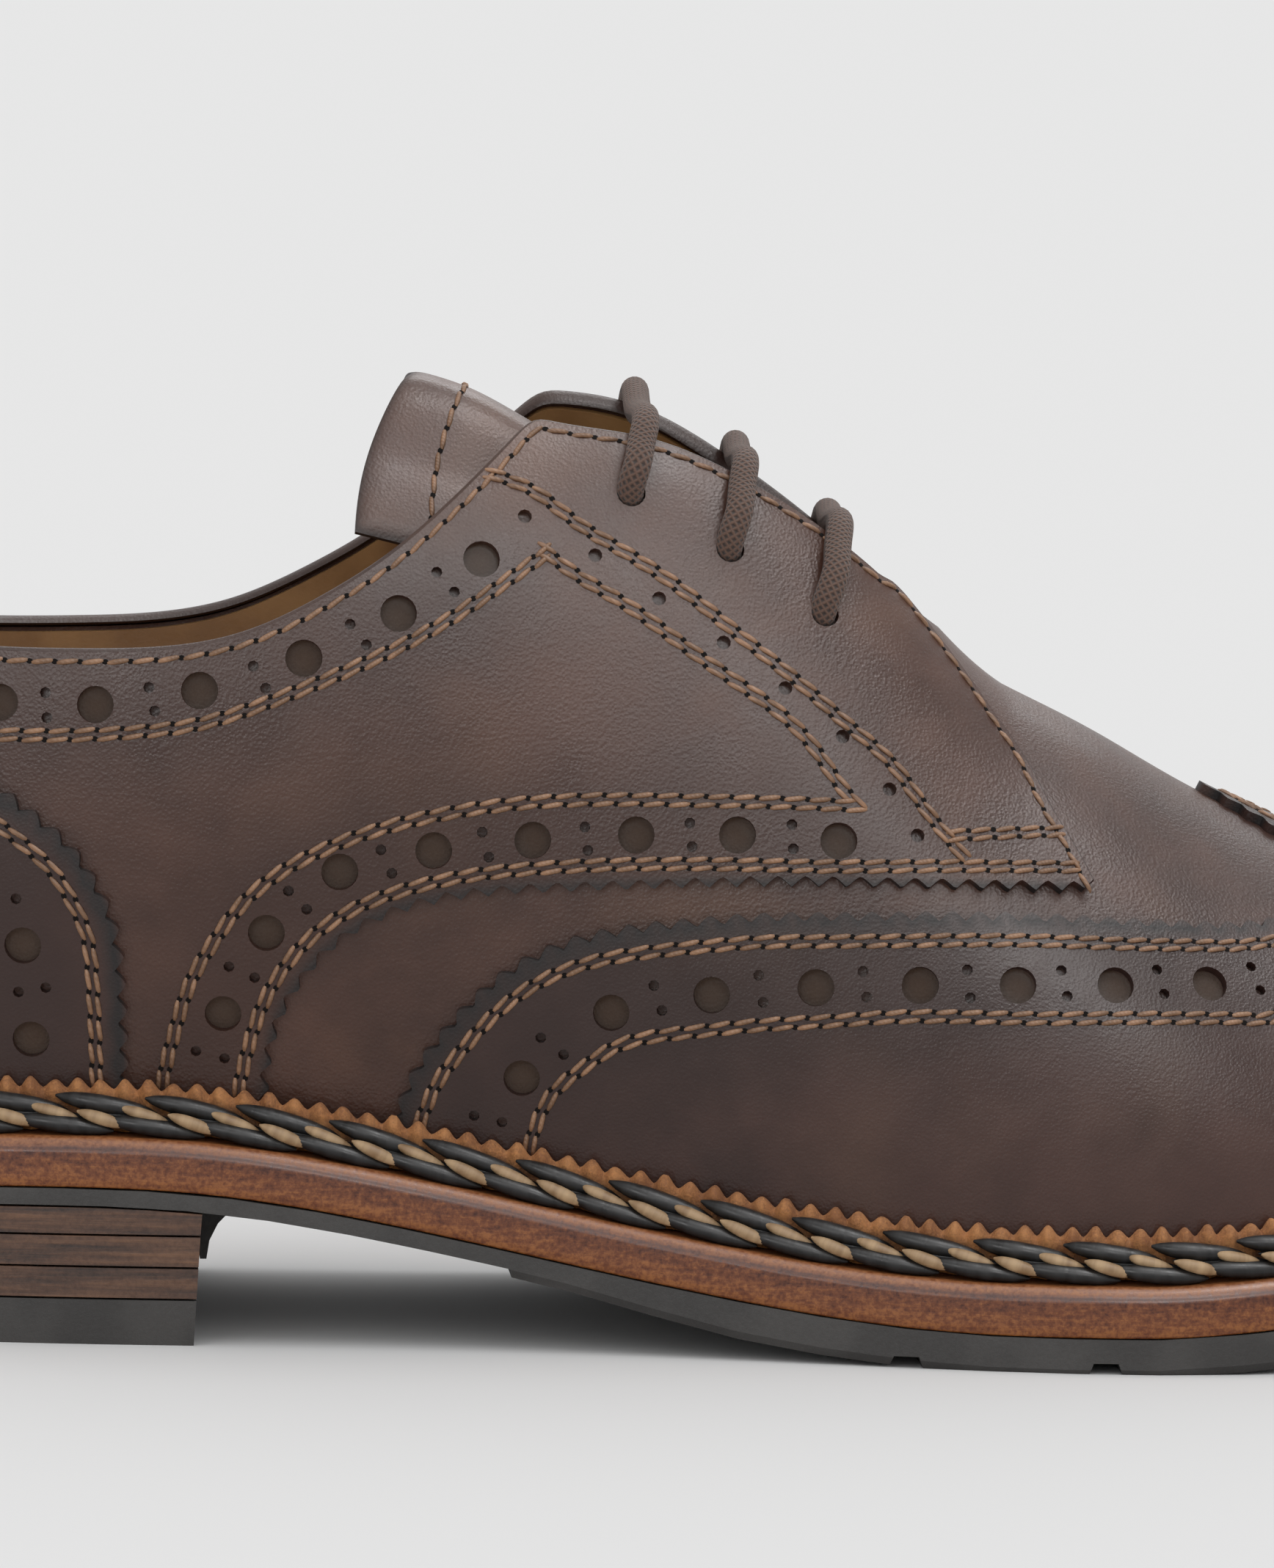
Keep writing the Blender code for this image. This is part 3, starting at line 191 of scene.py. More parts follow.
def planSides(shares):
    # the sole's edge as one closed spline, cut at the heel and at the toe, with its inward direction
    along = [0, *(a * last["length"] for a in plan["along"])]
    lateral = [0, *(-w * last["ball"] for w in plan["lateral"])]
    medial = [w * last["ball"] for w in plan["medial"]]
    points = list(zip(along, lateral)) + [(last["length"], plan["tip"] * last["ball"])]
    points += list(zip(along[:0:-1], medial[::-1]))
    loop = np.array(points[-3:] + points + points[:4])
    at = np.concatenate([[0], np.cumsum(np.sqrt(np.hypot(*np.diff(loop, axis=0).T)))])

    def place(t):
        return np.stack([spline(at, loop[:, 0], t), spline(at, loop[:, 1], t)], -1)

    toe, sides = at[3 + len(along)], []
    for start in (at[3], at[3 + len(points)]):
        t = np.linspace(start, toe, 1501)
        run = runOf(place(t))
        t = np.interp(np.asarray(shares) * run[-1], run, t)
        ahead = place(t + 1e-4) - place(t - 1e-4)
        sides.append([place(t), unit(np.stack([-ahead[:, 1], ahead[:, 0]], -1))])
    ends = (np.asarray(shares) == 0) | (np.asarray(shares) == 1)
    for one, other in zip(*sides):
        one[ends] = other[ends] = (one[ends] + other[ends]) / 2
    return sides


def midsoleTop(x):
    share = np.clip(np.asarray(x) / last["length"], 0, 1)
    rise = (last["heel"] + last["waistRubber"] - last["rubber"]) * through(soleLine, "heel", share)
    return last["rubber"] + last["midsole"] + rise + last["toeSpring"] * through(soleLine, "toe", share)


def upperInset(x):
    return last["inset"] + last["tuck"] * smoothStep(0.3, 0.18, np.asarray(x) / last["length"])


def ridgePoint(share):
    x = share * last["length"]
    z = midsoleTop(x) + last["instep"] * through(ridgeLine, "height", share)
    return np.stack([x, last["swing"] * through(ridgeLine, "swing", share), z], -1)


class Form:
    # the last's skin on a grid: s runs from heel to toe, w from the lateral welt (0) over the ridge (1)
    # to the medial welt (2). Each rib is a cubic from the welt to the ridge, pushed out by its bulge.
    def __init__(self, spring, stations=701, rows=161):
        s, t = np.linspace(0, 1, stations), np.linspace(0, 1, rows)
        sides = planSides(s)
        middle = (sides[0][0][:, 0] + sides[1][0][:, 0]) / 2 / last["length"]
        self.ridgeShare = through(ribFan, "ridge", middle)
        lateral, medial = (self.ribs(side, s, t, *sides[side], spring) for side in (0, 1))
        self.points = np.concatenate([lateral, medial[:, -2::-1]], axis=1) + np.array(last["shift"])
        across, along = np.gradient(self.points, axis=1), np.gradient(self.points, axis=0)
        n = unit(np.cross(along, across))
        n[:, [0, -1], 2] = 0
        n[-1, rows - 1] = n[-2, rows - 1]
        for end in (0, -1):
            n[end] = n[end] + n[end, ::-1]
        self.normals = unit(n)
        self.s, self.w = s, np.linspace(0, 2, 2 * rows - 1)

    def ribs(self, side, s, t, foot, inward, spring):
        foot = foot + inward * upperInset(foot[:, 0])[:, None]
        share = foot[:, 0] / last["length"]
        top = ridgePoint(self.ridgeShare)
        ahead = ridgePoint(self.ridgeShare + 1e-4) - ridgePoint(self.ridgeShare - 1e-4)
        across = top[:, :2] - foot
        reach = np.linalg.norm(across, axis=1)
        across /= reach[:, None]
        own = smoothStep(0, 0.08, s) * smoothStep(1, 0.92, s)
        full, crown, bulge = (
            (through(sections, c + "0", share) + through(sections, c + "1", share)) / 2
            + own * (side - 0.5) * (through(sections, c + "1", share) - through(sections, c + "0", share))
            for c in ("side", "top", "bulge")
        )
        low = midsoleTop(foot[:, 0]) + 0.3 * mm
        lean = ahead[:, 2] / ahead[:, 0] * across[:, 0]
        corners = (
            np.stack([0 * reach, low], -1),
            np.stack([0 * reach, low + full * (top[:, 2] - low)], -1),
            np.stack([reach * (1 - crown), top[:, 2] - lean * crown * reach], -1),
            np.stack([reach, top[:, 2]], -1),
        )
        t = t[None, :, None]
        weights = ((1 - t) ** 3, 3 * (1 - t) ** 2 * t, 3 * (1 - t) * t**2, t**3)
        flat = sum(w * c[:, None] for w, c in zip(weights, corners))
        flat[..., :1] -= bulge[:, None, None] * last["bulge"] * weights[1] * t / (t + last["footStand"])
        points = np.concatenate([foot[:, None] + across[:, None] * flat[..., :1], flat[..., 1:]], -1)
        share = np.clip(points[..., 0] / last["length"], 0.30, 0.66)
        lift = np.maximum(through(facingLine, "spring", share), 0)
        before = smoothStep(last["throatEnd"] - 0.006, last["throatEnd"] - 0.05, share)
        lift = lift + side * before * np.maximum(through(facingLine, "medial", share), 0)
        points[..., 2] += spring * last["facingSpring"] * lift * smoothStep(0.45, 0.85, t[..., 0])
        return points

    def sample(self, values, s, w):
        a = np.clip(s, 0, 1) * (len(self.s) - 1)
        b = np.clip(w, 0, 2) * (len(self.w) - 1) / 2
        i, j = np.minimum(a.astype(int), len(self.s) - 2), np.minimum(b.astype(int), len(self.w) - 2)
        a, b = (a - i)[..., None], (b - j)[..., None]
        near = values[i, j] * (1 - b) + values[i, j + 1] * b
        far = values[i + 1, j] * (1 - b) + values[i + 1, j + 1] * b
        return near * (1 - a) + far * a

    def place(self, sw, offset=0.0):
        # a point of the skin at (s, w), moved out along its normal
        s, w = np.asarray(sw)[..., 0], np.asarray(sw)[..., 1]
        out = self.sample(self.points, s, w)
        return out + unit(self.sample(self.normals, s, w)) * np.asarray(offset)[..., None]

    def normal(self, sw):
        return unit(self.sample(self.normals, sw[..., 0], sw[..., 1]))

    def edge(self):
        # w of the collar's and the facing's edge at each station: lateral, medial
        found = []
        for side in (0, 1):
            rows = (len(self.w) + 1) // 2
            points = (self.points if side == 0 else self.points[:, ::-1])[:, :rows] - np.array(last["shift"])
            share = points[..., 0] / last["length"]
            height = last["quarter"] * through(collarLine, "height", np.clip(share, 0, 0.42))
            overCollar = points[..., 2] - midsoleTop(points[..., 0]) - height
            ridgeY = last["swing"] * through(ridgeLine, "swing", self.ridgeShare)[:, None]
            opened = np.sqrt(np.clip((last["throatEnd"] - share) / last["throatRound"], 0, 1))
            overFacing = last["facingGap"] * opened - np.abs(points[..., 1] - ridgeY)
            t, meets = np.linspace(0, 1, rows), []
            for over in (overCollar, overFacing):
                past = over > 0
                first = np.where(past.any(1), past.argmax(1), rows - 1)
                row, before = np.arange(len(first)), np.maximum(first - 1, 0)
                low, high = over[row, before], over[row, first]
                part = np.clip(-low / np.where(high == low, 1, high - low), 0, 1)
                meets.append(np.where(past.any(1), t[before] + part * (t[first] - t[before]), 1.0))
            collar = np.where(self.ridgeShare > 0.42, 1.2, meets[0])
            facing = np.where(self.ridgeShare < 0.30, 1.2, meets[1])
            rounded = -np.log(np.exp(-90 * collar) + np.exp(-90 * facing)) / 90
            found.append(np.where(self.ridgeShare >= last["throatEnd"], 1.0, np.minimum(rounded, 0.99)))
        return found


form, innerForm = Form(1.0), Form(0.0)
edges = form.edge()
print("form worked out")


# the camera, and lines of the photograph put on the form
def cameraAxes():
    place, aim = np.array(cameraPlace["place"]), np.array(cameraPlace["aim"])
    ahead = unit(aim - place)
    right = unit(np.cross(ahead, [0, 0, 1]))
    up = np.cross(right, ahead)
    c, s = math.cos(cameraPlace["roll"]), math.sin(cameraPlace["roll"])
    return place, ahead, c * right + s * up, c * up - s * right


def onPicture(points):
    place, ahead, right, up = cameraAxes()
    p = points - place
    far = p @ ahead
    return np.stack([cameraPlace["width"] / 2 + cameraPlace["focal"] * (p @ right) / far,
                     cameraPlace["height"] / 2 - cameraPlace["focal"] * (p @ up) / far], -1)


def fromAbove(points):
    return points[..., :2] * aboveScale


def cast(targets, view=onPicture, offset=lineLift, reach=(0.0, 1.12)):
    # (s, w) whose picture is the target: the nearest of the form's samples, then Newton steps
    wide = np.nonzero((form.w >= reach[0]) & (form.w <= reach[1]))[0][::2]
    s, w = np.meshgrid(form.s[::4], form.w[wide], indexing="ij")
    grid = np.stack([s, w], -1).reshape(-1, 2)
    places = form.place(grid, offset)
    facing = form.normal(grid)
    toward = np.array(cameraPlace["place"]) - places if view is onPicture else np.array([[0, 0, 1.0]])
    keep = (facing * toward).sum(1) > -0.02
    grid, pictured = grid[keep], view(places[keep])
    targets = np.asarray(targets, float)
    found = []
    for block in np.array_split(targets, max(1, len(targets) // 150)):
        apart = ((block[:, None] - pictured[None]) ** 2).sum(-1)
        found.append(grid[apart.argmin(1)])
    sw = np.concatenate(found)
    nudge = 2e-3
    for _ in range(6):
        here = view(form.place(sw, offset))
        ds = (view(form.place(sw + [nudge, 0], offset)) - here) / nudge
        dw = (view(form.place(sw + [0, nudge], offset)) - here) / nudge
        jacobian = np.stack([ds, dw], -1)
        det = np.linalg.det(jacobian)
        jacobian[np.abs(det) < 1e-3] += np.eye(2) * 50
        move = np.linalg.solve(jacobian, (targets - here)[..., None])[..., 0]
        sw = sw + np.clip(move, -0.03, 0.03)
        sw = np.clip(sw, [0, reach[0]], [1, reach[1]])
    return sw


def smoothLine(knots, step):
    # a spline through the knots, sampled evenly
    knots = np.asarray(knots, float)
    run = runOf(knots)
    t = np.linspace(0, run[-1], max(3, int(run[-1] / step)))
    return np.stack([spline(run, knots[:, k], t) for k in range(knots.shape[1])], -1)


def chart(sw):
    # (s, w) as near-real millimetres
    return np.asarray(sw) * chartSize


def even(sw, spacing, offset=lineLift):
    # the same line with its points evenly spaced on the shoe
    run = runOf(form.place(sw, offset))
    count = max(2, int(round(run[-1] / spacing)) + 1)
    t = np.linspace(0, run[-1], count)
    return np.stack([np.interp(t, run, sw[:, k]) for k in (0, 1)], -1)


def axesAt(sw, offset=0.0):
    nudge = 1e-3
    ds = (form.place(sw + [nudge, 0], offset) - form.place(sw - [nudge, 0], offset)) / (2 * nudge)
    dw = (form.place(sw + [0, nudge], offset) - form.place(sw - [0, nudge], offset)) / (2 * nudge)
    return ds, dw


def moved(sw, vectors):
    # (s, w) after a move of each point by a vector in the surface: least squares on the two axes
    safe = np.clip(sw, [1.1e-3, 1.1e-3], [1 - 1.1e-3, 2 - 1.1e-3])
    ds, dw = axesAt(safe)
    a, b, c = (ds * ds).sum(-1), (ds * dw).sum(-1), (dw * dw).sum(-1)
    p, q = (ds * vectors).sum(-1), (dw * vectors).sum(-1)
    det = np.maximum(a * c - b * b, 1e-12)
    return sw + np.stack([(c * p - b * q) / det, (a * q - b * p) / det], -1)


def shifted(sw, distance):
    # the line moved sideways in the surface, to the left of its way seen from outside
    places = form.place(sw, lineLift)
    along = unit(np.gradient(places, axis=0))
    side = unit(np.cross(form.normal(sw), along))
    return moved(sw, side * np.asarray(distance)[..., None])


def toHeel(sw, height):
    # the line led on level to the middle of the heel's back at a height
    column = form.points[0, : (len(form.w) + 1) // 2]
    end = np.interp(height, column[:, 2], form.w[: len(column)])
    t = np.linspace(0, 1, 24)[:-1]
    first, slope = sw[0], (sw[3, 1] - sw[0, 1]) / (sw[3, 0] - sw[0, 0])
    w = end + (first[1] - end) * (3 * t**2 - 2 * t**3) + slope * first[0] * (t**3 - t**2)
    return np.concatenate([np.stack([first[0] * t, w], -1), sw])


def other(sw):
    # the same line on the medial side
    return np.asarray(sw) * [1, -1] + [0, 2]


def toFoot(sw):
    # the line's first end led down to the welt
    first = sw[0]
    ahead = (sw[4] - sw[0]) / max(sw[4, 1] - sw[0, 1], 1e-6)
    t = np.linspace(0, 1, 6)[:-1]
    return np.concatenate([first + ahead * first[1] * (t[:, None] - 1), sw])


def seenLine(name, step=5.0):
    return cast(smoothLine(seen[name], step))


def gimped(sw, pitch=3.75 * mm, depth=1.55 * mm):
    # pinked teeth: a saw of pointed tips and rounder notches along the line, cut back from it
    fine = even(sw, pitch / 8)
    run = runOf(form.place(fine, lineLift))
    phase = run / (run[-1] / max(1, round(run[-1] / pitch)))
    saw = np.abs(2 * (phase % 1) - 1)
    return shifted(fine, -depth * (1 - saw**1.25)), fine


lines = {name: seenLine(name) for name in seen}
lines["counterEdge"] = toHeel(lines["counterEdge"], 83 * mm)
for name in ("quarterEdge", "wingEdge", "quarterBand", "wingBand"):
    lines[name] = toFoot(lines[name])
lines["counterEdge"] = toFoot(lines["counterEdge"][::-1])[::-1]
lines["insetBottom"] = toFoot(lines["insetBottom"][::-1])[::-1]
collarHeight = last["quarter"] * 1.1 + midsoleTop(0.01)
lines["collarBand"] = toHeel(lines["collarBand"], collarHeight - 12.5 * mm)


def tableLine(table, side):
    # a panel's edge given as half widths about the ridge seen from above
    along = np.array(table["along"])
    half = np.array(table["half"]) * last["ball"]
    middle = last["swing"] * through(ridgeLine, "swing", along)
    x = along * last["length"] + last["shift"][0]
    y = middle + last["shift"][1] + (half if side else -half)
    reach = (0.9, 2.0) if side else (0.0, 1.1)
    knots = smoothLine(np.stack([x, y], -1) * aboveScale, 8)
    return cast(knots, fromAbove, 0.0, reach)


peak = tableLine(capPeak, 0)[::-1]
wingFront = smoothLine(chart(np.concatenate([lines["wingEdge"][-60::12], peak[8:-4:14], peak[-1:]])), 0.5)
lines["wingEdge"] = np.concatenate([lines["wingEdge"][:-60], wingFront / chartSize])
lines["wingEdge"][-1, 1] = 1.0
facingTop = []
for side in (0, 1):
    front = tableLine(facingFront, side)
    keep = form.s < np.interp(0.548, form.ridgeShare, form.s)
    w = edges[side][keep]
    top = np.stack([form.s[keep], 2 - w if side else w], -1)
    facingTop.append(np.concatenate([top, front]))
print("lines of the photograph put on the form")


# shader maths as plain expressions
class Value:
    def __init__(self, finish, socket):
        self.finish, self.socket = finish, socket

    def math(self, operation, a, b):
        return self.finish.node("ShaderNodeMath", {"operation": operation}, {0: a, 1: b})

    def __add__(self, more):
        return self.math("ADD", self, more)

    def __rsub__(self, whole):
        return self.math("SUBTRACT", whole, self)

    def __mul__(self, times):
        return self.math("MULTIPLY", self, times)

    __radd__, __rmul__ = __add__, __mul__


class Finish:
    def __init__(self, name, **fixed):
        self.material = bpy.data.materials.new(name)
        self.material.use_nodes = True
        self.tree = self.material.node_tree
        self.shader = self.tree.nodes["Principled BSDF"]
        for socket, value in fixed.items():
            self.shader.inputs[socket.replace("_", " ")].default_value = value

    def node(self, kind, settings=None, inputs=None, out=0):
        made = self.tree.nodes.new(kind)
        for key, value in (settings or {}).items():
            if key == "stops":
                for number, (at, colour) in enumerate(value):
                    stop = made.color_ramp.elements[number] if number < 2 else made.color_ramp.elements.new(at)
                    stop.position, stop.color = at, (*colour, 1)
            else:
                setattr(made, key, value)
        for key, value in (inputs or {}).items():
            if isinstance(value, Value):
                self.tree.links.new(value.socket, made.inputs[key])
            else:
                made.inputs[key].default_value = value
        return Value(self, made.outputs[out])

    def place(self):
        return self.node("ShaderNodeTexCoord", out="Object")

    def uv(self, along=1.0, across=1.0):
        return self.node("ShaderNodeMapping", None, {0: self.node("ShaderNodeTexCoord", out="UV"),
                                                     "Scale": (along, across, 1)})

    def named(self, name):
        return self.node("ShaderNodeAttribute", {"attribute_name": name}, out="Fac")

    def noise(self, size, detail=2.0, where=None, rough=0.5, twist=0.0):
        return self.node("ShaderNodeTexNoise", None, {
            "Vector": where or self.place(), "Scale": 1 / size, "Detail": detail, "Roughness": rough,
            "Distortion": twist})

    def mix(self, factor, a, b):
        full = [(*c, 1) if isinstance(c, tuple) and len(c) == 3 else c for c in (a, b)]
        return self.node("ShaderNodeMix", {"data_type": "RGBA"}, {0: factor, 6: full[0], 7: full[1]}, 2)

    def step(self, value, low, high, to=(0.0, 1.0)):
        return self.node("ShaderNodeMapRange", {"interpolation_type": "SMOOTHSTEP"}, {
            "Value": value, "From Min": low, "From Max": high, "To Min": to[0], "To Max": to[1]})

    def bump(self, height, depth):
        return self.node("ShaderNodeBump", None, {"Height": height, "Distance": depth}, "Normal")

    def dress(self, colour, rough, height=None, depth=0.0):
        sockets = {"Base Color": colour, "Roughness": rough}
        if height is not None:
            sockets["Normal"] = self.bump(height, depth)
        for name, value in sockets.items():
            self.tree.links.new(value.socket, self.shader.inputs[name])
        return self.material


# the hole colour in each look is painted shade for the bottoms of the large holes
leatherLooks = {
    "upper": {"mid": (0.106, 0.047, 0.031), "dark": (0.044, 0.018, 0.012), "warm": (0.180, 0.084, 0.046),
              "black": (0.009, 0.007, 0.007), "hollow": (0.056, 0.031, 0.016),
              "grain": 0.46 * mm, "depth": 0.10 * mm, "gloss": 0.36},
    "cap": {"mid": (0.076, 0.033, 0.024), "dark": (0.030, 0.013, 0.010), "warm": (0.118, 0.060, 0.038),
            "black": (0.009, 0.007, 0.007), "hollow": (0.056, 0.031, 0.016),
            "grain": 0.40 * mm, "depth": 0.06 * mm, "gloss": 0.32},
}


def waxedLeather(name, look):
    # burnished leather: slow clouds of tone, dark by the punched bands, black at the pinked edges, painted shade
    # in darker brown at the bottom of the large holes, fine grain
    made = Finish(name, Coat_Weight=0.05, Coat_Roughness=0.22, Specular_IOR_Level=0.36)
    slow, cloudy = made.noise(45 * mm, 3), made.noise(9 * mm, 4, rough=0.6)
    tone = made.step(slow * 0.7 + cloudy * 0.3, 0.30, 0.68)
    colour = made.mix(tone, look["dark"], look["mid"])
    patches = made.step(made.noise(30 * mm, 2, twist=0.4), 0.50, 0.78, (0, 0.42))
    colour = made.mix(patches, colour, look["warm"])
    colour = made.mix(made.named("band") * 0.8, colour, look["dark"])
    colour = made.mix(made.named("edge"), colour, look["black"])
    # painted shade: the bottoms of the large holes are coloured a darker brown
    colour = made.mix(made.step(made.named("hollow"), 0.2, 0.8, (0, 0.85)), colour, look["hollow"])
    cells = made.node("ShaderNodeTexVoronoi", {"feature": "SMOOTH_F1"}, {
        "Vector": made.place(), "Scale": 1 / look["grain"], "Smoothness": 0.6})
    fine = made.noise(look["grain"] * 0.5, 3, rough=0.65)
    wrinkle = made.noise(2.4 * mm, 4, twist=1.2)
    height = cells * 0.6 + fine * 0.4 + wrinkle * 0.25
    colour = made.mix(made.step(fine, 0.35, 0.65, (0, 0.22)), colour, look["dark"])
    rough = made.step(cloudy * 0.5 + fine * 0.5, 0.3, 0.7, (look["gloss"] - 0.05, look["gloss"] + 0.13))
    rough = rough + made.named("edge") * 0.2 + made.named("hollow") * 0.4
    return made.dress(colour, rough, height, look["depth"])


def liningLeather():
    made = Finish("liningLeather")
    tone = made.step(made.noise(12 * mm, 4), 0.35, 0.65)
    colour = made.mix(tone, (0.30, 0.145, 0.045), (0.42, 0.22, 0.075))
    height = made.noise(0.5 * mm, 3)
    return made.dress(colour, made.step(height, 0.3, 0.7, (0.5, 0.65)), height, 0.03 * mm)


def threadFinish(name, light, deep):
    made = Finish(name)
    ply = made.node("ShaderNodeTexWave", {"bands_direction": "DIAGONAL"}, {
        "Vector": made.place(), "Scale": 900.0, "Distortion": 1.5})
    colour = made.mix(made.step(made.noise(3 * mm, 3), 0.35, 0.7), deep, light)
    return made.dress(colour, made.step(ply, 0, 1, (0.55, 0.7)), ply, 0.04 * mm)


# near-black discs: painted shade inside the needle holes
def paintedNeedleShade():
    made = Finish("needleShade", Specular_IOR_Level=0.1)
    colour = made.mix(made.noise(1 * mm), (0.004, 0.003, 0.003), (0.012, 0.009, 0.008))
    return made.dress(colour, made.step(made.noise(2 * mm), 0, 1, (0.8, 0.95)))


def weltLeather():
    # rough-cut tan leather, fuzzy along its cut top
    made = Finish("weltLeather")
    fuzz, cloud = made.noise(0.45 * mm, 5, rough=0.75), made.noise(5 * mm, 3)
    tone = made.step(cloud * 0.5 + fuzz * 0.5, 0.36, 0.62)
    colour = made.mix(tone, (0.31, 0.108, 0.024), (0.64, 0.275, 0.085))
    return made.dress(colour, made.step(fuzz, 0.3, 0.7, (0.6, 0.85)), fuzz, 0.35 * mm)


def strandFinish(name, light, deep, gloss):
    # flat waxed fibres that run along each strand
    made = Finish(name, Specular_IOR_Level=0.32)
    fibre = made.noise(1.0, 3, made.uv(0.5 / mm, 14.0))
    colour = made.mix(made.step(fibre, 0.3, 0.7), deep, light)
    return made.dress(colour, made.step(fibre, 0.3, 0.7, (gloss, gloss + 0.2)), fibre, 0.14 * mm)


def midsoleLeather():
    # burnished edge with fibres along it: redder and darker upward, a dark line, then a paler polished arris
    made = Finish("midsoleLeather", Coat_Weight=0.1, Coat_Roughness=0.2, Specular_IOR_Level=0.4)
    streak = made.noise(1.0, 5, made.uv(1 / (6 * mm), 1 / (0.9 * mm)), 0.65)
    pore, rise = made.noise(0.7 * mm, 4, rough=0.7), made.named("arris")
    colour = made.node("ShaderNodeValToRGB", {"stops": [
        (0.34, (0.058, 0.010, 0.003)), (0.49, (0.165, 0.043, 0.010)), (0.64, (0.32, 0.110, 0.026))]},
        {0: streak * 0.42 + pore * 0.58 + made.step(rise, 0, 0.4, (0.055, -0.065))})
    polished = made.mix(made.step(pore, 0.3, 0.7), (0.20, 0.060, 0.017), (0.36, 0.135, 0.042))
    colour = made.mix(made.step(rise, 0.55, 0.8), colour, polished)
    line = made.step(rise, 0.40, 0.5) * (1 - made.step(rise, 0.52, 0.6))
    colour = made.mix(line * 0.6, colour, (0.07, 0.02, 0.01))
    return made.dress(colour, made.step(pore, 0.3, 0.7, (0.33, 0.55)), pore * 0.6 + streak * 0.4, 0.06 * mm)


def rubberFinish():
    made = Finish("soleRubber")
    dust = made.noise(0.6 * mm, 5, rough=0.8)
    tone = made.step(made.noise(14 * mm, 3), 0.4, 0.65)
    colour = made.mix(tone, (0.030, 0.027, 0.025), (0.048, 0.044, 0.041))
    colour = made.mix(made.step(dust, 0.62, 0.72, (0, 0.25)), colour, (0.16, 0.14, 0.125))
    return made.dress(colour, made.step(dust, 0.3, 0.7, (0.5, 0.75)), dust, 0.08 * mm)


def heelLeather():
    # stacked lifts: thin layers seen edge-on, brown with dark lines between them
    made = Finish("heelLeather", Coat_Weight=0.15, Coat_Roughness=0.3)
    flat = made.node("ShaderNodeMapping", None, {0: made.place(), "Scale": (45, 45, 950)})
    streak, pore = made.noise(1.0, 5, flat, 0.6, 0.3), made.noise(0.8 * mm, 4, rough=0.7)
    colour = made.node("ShaderNodeValToRGB", {"stops": [
        (0.33, (0.020, 0.009, 0.006)), (0.5, (0.085, 0.036, 0.018)), (0.68, (0.18, 0.082, 0.038))]},
        {0: streak * 0.75 + pore * 0.25})
    return made.dress(colour, made.step(pore, 0.3, 0.7, (0.35, 0.6)), streak * 0.6 + pore * 0.4, 0.12 * mm)


def laceFinish():
    # round braided cord: two crossing sets of diagonal picks
    made = Finish("wovenLace", Sheen_Weight=0.15)
    picks = []
    for turn in (1.0, -1.0):
        where = made.node("ShaderNodeMapping", None, {
            0: made.node("ShaderNodeTexCoord", out="UV"), "Rotation": (0, 0, turn * 0.62)})
        picks.append(made.node("ShaderNodeTexWave", None, {"Vector": where, "Scale": 430.0, "Distortion": 0.8}))
    weave = made.node("ShaderNodeMath", {"operation": "MAXIMUM"}, {0: picks[0], 1: picks[1]})
    fuzz = made.noise(0.3 * mm, 4)
    tone = made.step(weave * 0.7 + fuzz * 0.5, 0.3, 1.0)
    colour = made.mix(tone, (0.030, 0.015, 0.010), (0.135, 0.070, 0.046))
    return made.dress(colour, made.step(fuzz, 0.2, 0.8, (0.75, 0.95)), weave * 0.8 + fuzz * 0.4, 0.3 * mm)


finishes = {
    "upper": waxedLeather("upperLeather", leatherLooks["upper"]),
    "cap": waxedLeather("capLeather", leatherLooks["cap"]),
    "lining": liningLeather(),
    "thread": threadFinish("tanThread", (0.36, 0.192, 0.104), (0.20, 0.102, 0.050)),
    "needle": paintedNeedleShade(),
    "welt": weltLeather(),
    "blackStrand": strandFinish("blackStrand", (0.021, 0.020, 0.020), (0.008, 0.007, 0.007), 0.34),
    "creamStrand": strandFinish("creamStrand", (0.50, 0.34, 0.19), (0.26, 0.155, 0.075), 0.5),
    "midsole": midsoleLeather(),
    "rubber": rubberFinish(),
    "heel": heelLeather(),
    "lace": laceFinish(),
}
print("finishes made")


# meshes from arrays
def makePiece(name, points, faces, finish, slot, replaced=(), attributes=None, uv=None, weld=0.0, sharp=38):
    mesh = bpy.data.meshes.new(name)
    mesh.from_pydata(np.asarray(points).tolist(), [], [list(f) for f in faces])
    for key, values in (attributes or {}).items():
        mesh.attributes.new(key, "FLOAT", "POINT").data.foreach_set("value", np.asarray(values, np.float32))
    if uv is not None:
        corner = np.empty(len(mesh.loops), np.int32)
        mesh.loops.foreach_get("vertex_index", corner)
        layer = mesh.uv_layers.new(name="UVMap")
        layer.data.foreach_set("uv", np.asarray(uv, np.float32)[corner].ravel())
    if weld:
        work = bmesh.new()
        work.from_mesh(mesh)
        bmesh.ops.remove_doubles(work, verts=work.verts, dist=weld)
        work.to_mesh(mesh)
        work.free()
    mesh.shade_smooth()
    mesh.set_sharp_from_angle(angle=math.radians(sharp))
    made = bpy.data.objects.new(name, mesh)
    made.data.materials.append(finishes[finish])
    bpy.context.scene.collection.objects.link(made)
    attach(made, "root")
    if replaced:
        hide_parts(*replaced)
    return made


def gridFaces(rows, columns, aroundRows=False, aroundColumns=False):
    i = np.arange(rows if aroundRows else rows - 1)[:, None]
    j = np.arange(columns if aroundColumns else columns - 1)[None, :]
    a, b = i * columns + j, i * columns + (j + 1) % columns
    c, d = (i + 1) % rows * columns + (j + 1) % columns, (i + 1) % rows * columns + j
    return np.stack([a, b, c, d], -1).reshape(-1, 4)


